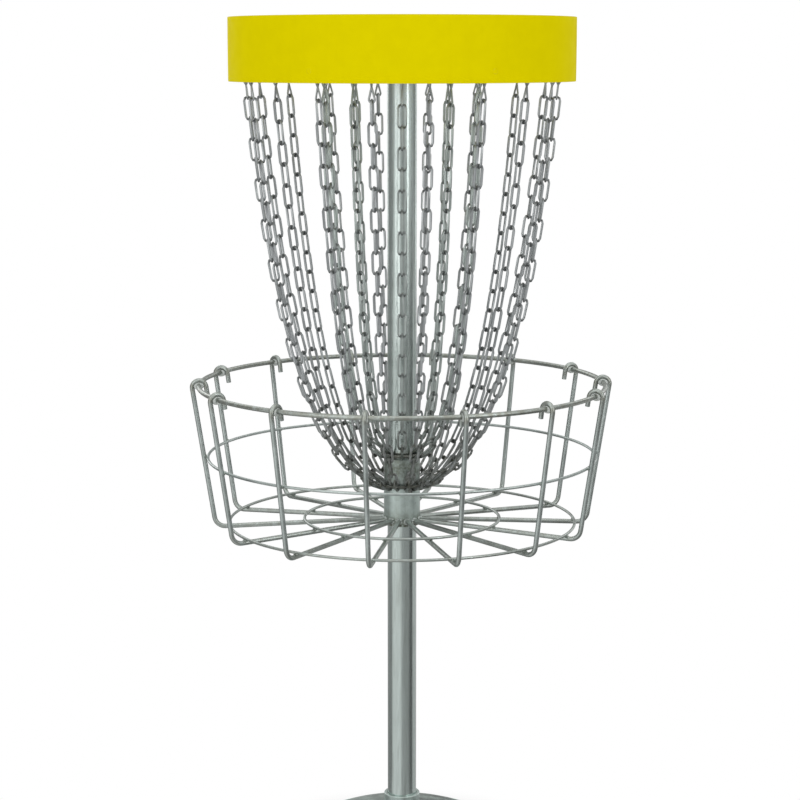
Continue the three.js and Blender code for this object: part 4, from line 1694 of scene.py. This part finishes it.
SIDE_PANELS = (Panel(-135.0, 26.0, 22.0, 0.23), Panel(180.0, 20.0, 20.0, 0.2))
NEAR_PANELS = (Panel(-48.0, 18.0, 34.0, 0.90), Panel(0.0, 2.0, 24.0, 0.12), Panel(23.0, 23.0, 25.0, 0.27),
               Panel(124.0, 26.0, 10.0, 0.53), *SIDE_PANELS)
FAR_PANELS = (Panel(-48.0, 18.0, 34.0, 0.52), Panel(0.0, 2.0, 24.0, 0.12), Panel(23.0, 23.0, 25.0, 0.27),
              Panel(57.0, 10.0, 36.0, 0.86), Panel(124.0, 26.0, 10.0, 0.22), *SIDE_PANELS)
SOFT_BOXES = (SoftBox("key_light", -38.0, 1.7, 3.0, 2.3, 2.6, 20.0),
              SoftBox("fill_light", 45.0, 1.9, 3.2, 0.8, 2.4, 16.5),
              SoftBox("back_light_left", -148.0, 1.8, 3.2, 1.3, 2.4, 13.0),
              SoftBox("back_light_right", 142.0, 1.8, 3.2, 1.3, 2.4, 10.0),
              SoftBox("top_light", 0.0, 3.6, 0.4, 2.2, 2.2, 14.0))


@dataclass
class Studio:
    """The floor, the light and the camera. Metal mirrors near panels in the floor and far ones in the world."""

    floor_half: float = 12.0
    white_from: float = 0.17
    white_to: float = 0.34
    floor_colour: Colour = (0.94, 0.94, 0.94)
    near_floor: tuple[float, float, float, float] = (0.4, 2.2, 0.83, 1.0)
    world_level: float = 0.60
    dim_level: float = 0.12
    dim_below: float = 0.15
    white_above: float = 0.85
    aim_height: float = 0.85
    lens: float = 94.5
    sensor: float = 36.0
    camera_place: tuple[float, float, float] = (-0.0033, -3.44, 1.362)
    camera_dip: float = 9.4

    def build(self) -> None:
        """Builds the studio."""
        bpy.context.scene.view_settings.view_transform = "Standard"
        self.floor_piece()
        self.world()
        for soft_box in SOFT_BOXES:
            soft_box.hang(UP * self.aim_height)
        self.camera()

    def floor_piece(self) -> None:
        """Lays the floor, which turns to plain white away from the object."""
        bm = bmesh.new()
        bmesh.ops.create_grid(bm, x_segments=1, y_segments=1, size=self.floor_half)
        mesh = bpy.data.meshes.new("floor")
        bm.to_mesh(mesh)
        bm.free()
        floor = bpy.data.objects.new("floor", mesh)
        bpy.context.scene.collection.objects.link(floor)
        material = bpy.data.materials.new("floor")
        material.use_nodes = True
        sheet = NodeSheet(material.node_tree)
        surface = sheet.feed(material.node_tree.nodes["Principled BSDF"], {
            "Base Color": (*self.floor_colour, 1.0), "Roughness": 0.9, "Specular IOR Level": 0.0})
        place = sheet.place()
        distance = sheet.vectors("LENGTH", "Value", place)
        away = sheet.ramp(distance, self.white_from, self.white_to)
        rays = sheet.add("ShaderNodeLightPath").outputs
        seen = sheet.maths("MAXIMUM", rays["Is Camera Ray"], rays["Is Transmission Ray"])
        fall = sheet.ramp(distance, *self.near_floor)
        gloss = sheet.maths("MULTIPLY", fall, self.mirrored(sheet, place, NEAR_PANELS))
        level = sheet.maths("MAXIMUM", seen, sheet.maths("MULTIPLY", rays["Is Glossy Ray"], gloss))
        share = sheet.maths("MULTIPLY", away, sheet.maths("MAXIMUM", seen, rays["Is Glossy Ray"]))
        white = sheet.add("ShaderNodeEmission", {"Color": (1, 1, 1, 1), "Strength": level})
        mixed = sheet.add("ShaderNodeMixShader", {0: share, 1: surface.outputs[0], 2: white.outputs[0]})
        sheet.feed(material.node_tree.nodes["Material Output"], {"Surface": mixed.outputs[0]})
        mesh.materials.append(material)

    def mirrored(self, sheet: NodeSheet, place: Socket, panels: tuple[Panel, ...]) -> Socket:
        """Works out how bright metal sees the studio in a direction: white ahead and above, dimmer at the sides.

        Args:
            sheet: The node sheet of the floor or the world.
            place: The socket of a direction or a place, seen from the pole's foot.
            panels: The panels that it sees.

        Returns:
            The level, at most 1.
        """
        heading = sheet.vectors("NORMALIZE", "Vector", place)
        level = sheet.ramp(sheet.height(heading), self.dim_below, self.white_above, self.dim_level, 1.0)
        flat = sheet.vectors("NORMALIZE", "Vector", sheet.vectors("MULTIPLY", "Vector", place, (1.0, 1.0, 0.0)))
        for panel in panels:
            turn = math.radians(panel.heading)
            facing = sheet.vectors("DOT_PRODUCT", "Value", flat, (math.sin(turn), -math.cos(turn), 0.0))
            outside = math.cos(math.radians(panel.half_width + panel.soft_edge))
            inside = math.cos(math.radians(panel.half_width))
            level = sheet.maths("ADD", level, sheet.ramp(facing, outside, inside, 0.0, panel.level))
        return sheet.maths("MINIMUM", level, 1.0)

    def world(self) -> None:
        """Sets a white world that is a little darker towards the horizon where metal mirrors it."""
        world = bpy.data.worlds.new("studio")
        bpy.context.scene.world = world
        world.use_nodes = True
        world.node_tree.nodes.clear()
        sheet = NodeSheet(world.node_tree)
        rays = sheet.add("ShaderNodeLightPath").outputs
        gloss = self.mirrored(sheet, sheet.add("ShaderNodeTexCoord").outputs["Generated"], FAR_PANELS)
        seen = sheet.maths("MAXIMUM", rays["Is Camera Ray"], rays["Is Transmission Ray"])
        mirrored = sheet.maths("MULTIPLY", rays["Is Glossy Ray"], gloss)
        other = sheet.maths("SUBTRACT", 1.0, sheet.maths("MAXIMUM", seen, rays["Is Glossy Ray"]))
        level = sheet.maths("ADD", sheet.maths("MAXIMUM", seen, mirrored),
                            sheet.maths("MULTIPLY", other, self.world_level))
        light = sheet.add("ShaderNodeBackground", {"Color": (1, 1, 1, 1), "Strength": level})
        sheet.add("ShaderNodeOutputWorld", {"Surface": light.outputs[0]})

    def camera(self) -> None:
        """Sets the camera where the photograph was taken."""
        data = bpy.data.cameras.new("camera")
        data.lens = self.lens
        data.sensor_width = self.sensor
        camera = bpy.data.objects.new("camera", data)
        camera.location = self.camera_place
        camera.rotation_euler = (math.radians(90 - self.camera_dip), 0.0, 0.0)
        bpy.context.scene.collection.objects.link(camera)
        bpy.context.scene.camera = camera


def main() -> None:
    """Builds the studio and every sub-assembly in order."""
    logging.basicConfig(level=logging.INFO, format="%(message)s")
    parts: list[Studio | Base | Mast | Cage | Rack | Band | ChainRow | Gather] = [
        Studio(),
        Base(),
        Mast(),
        Cage(),
        Rack(),
        Band(),
        ChainRow("outer", 18, 9.5, 1.0255, 21, 31, 90.0, LINK),
        ChainRow("inner", 10, 0.0, 1.007, 18, 37, 0.0, PALE_LINK),
        Gather(),
    ]
    for part in parts:
        part.build()


if __name__ == "__main__":
    main()
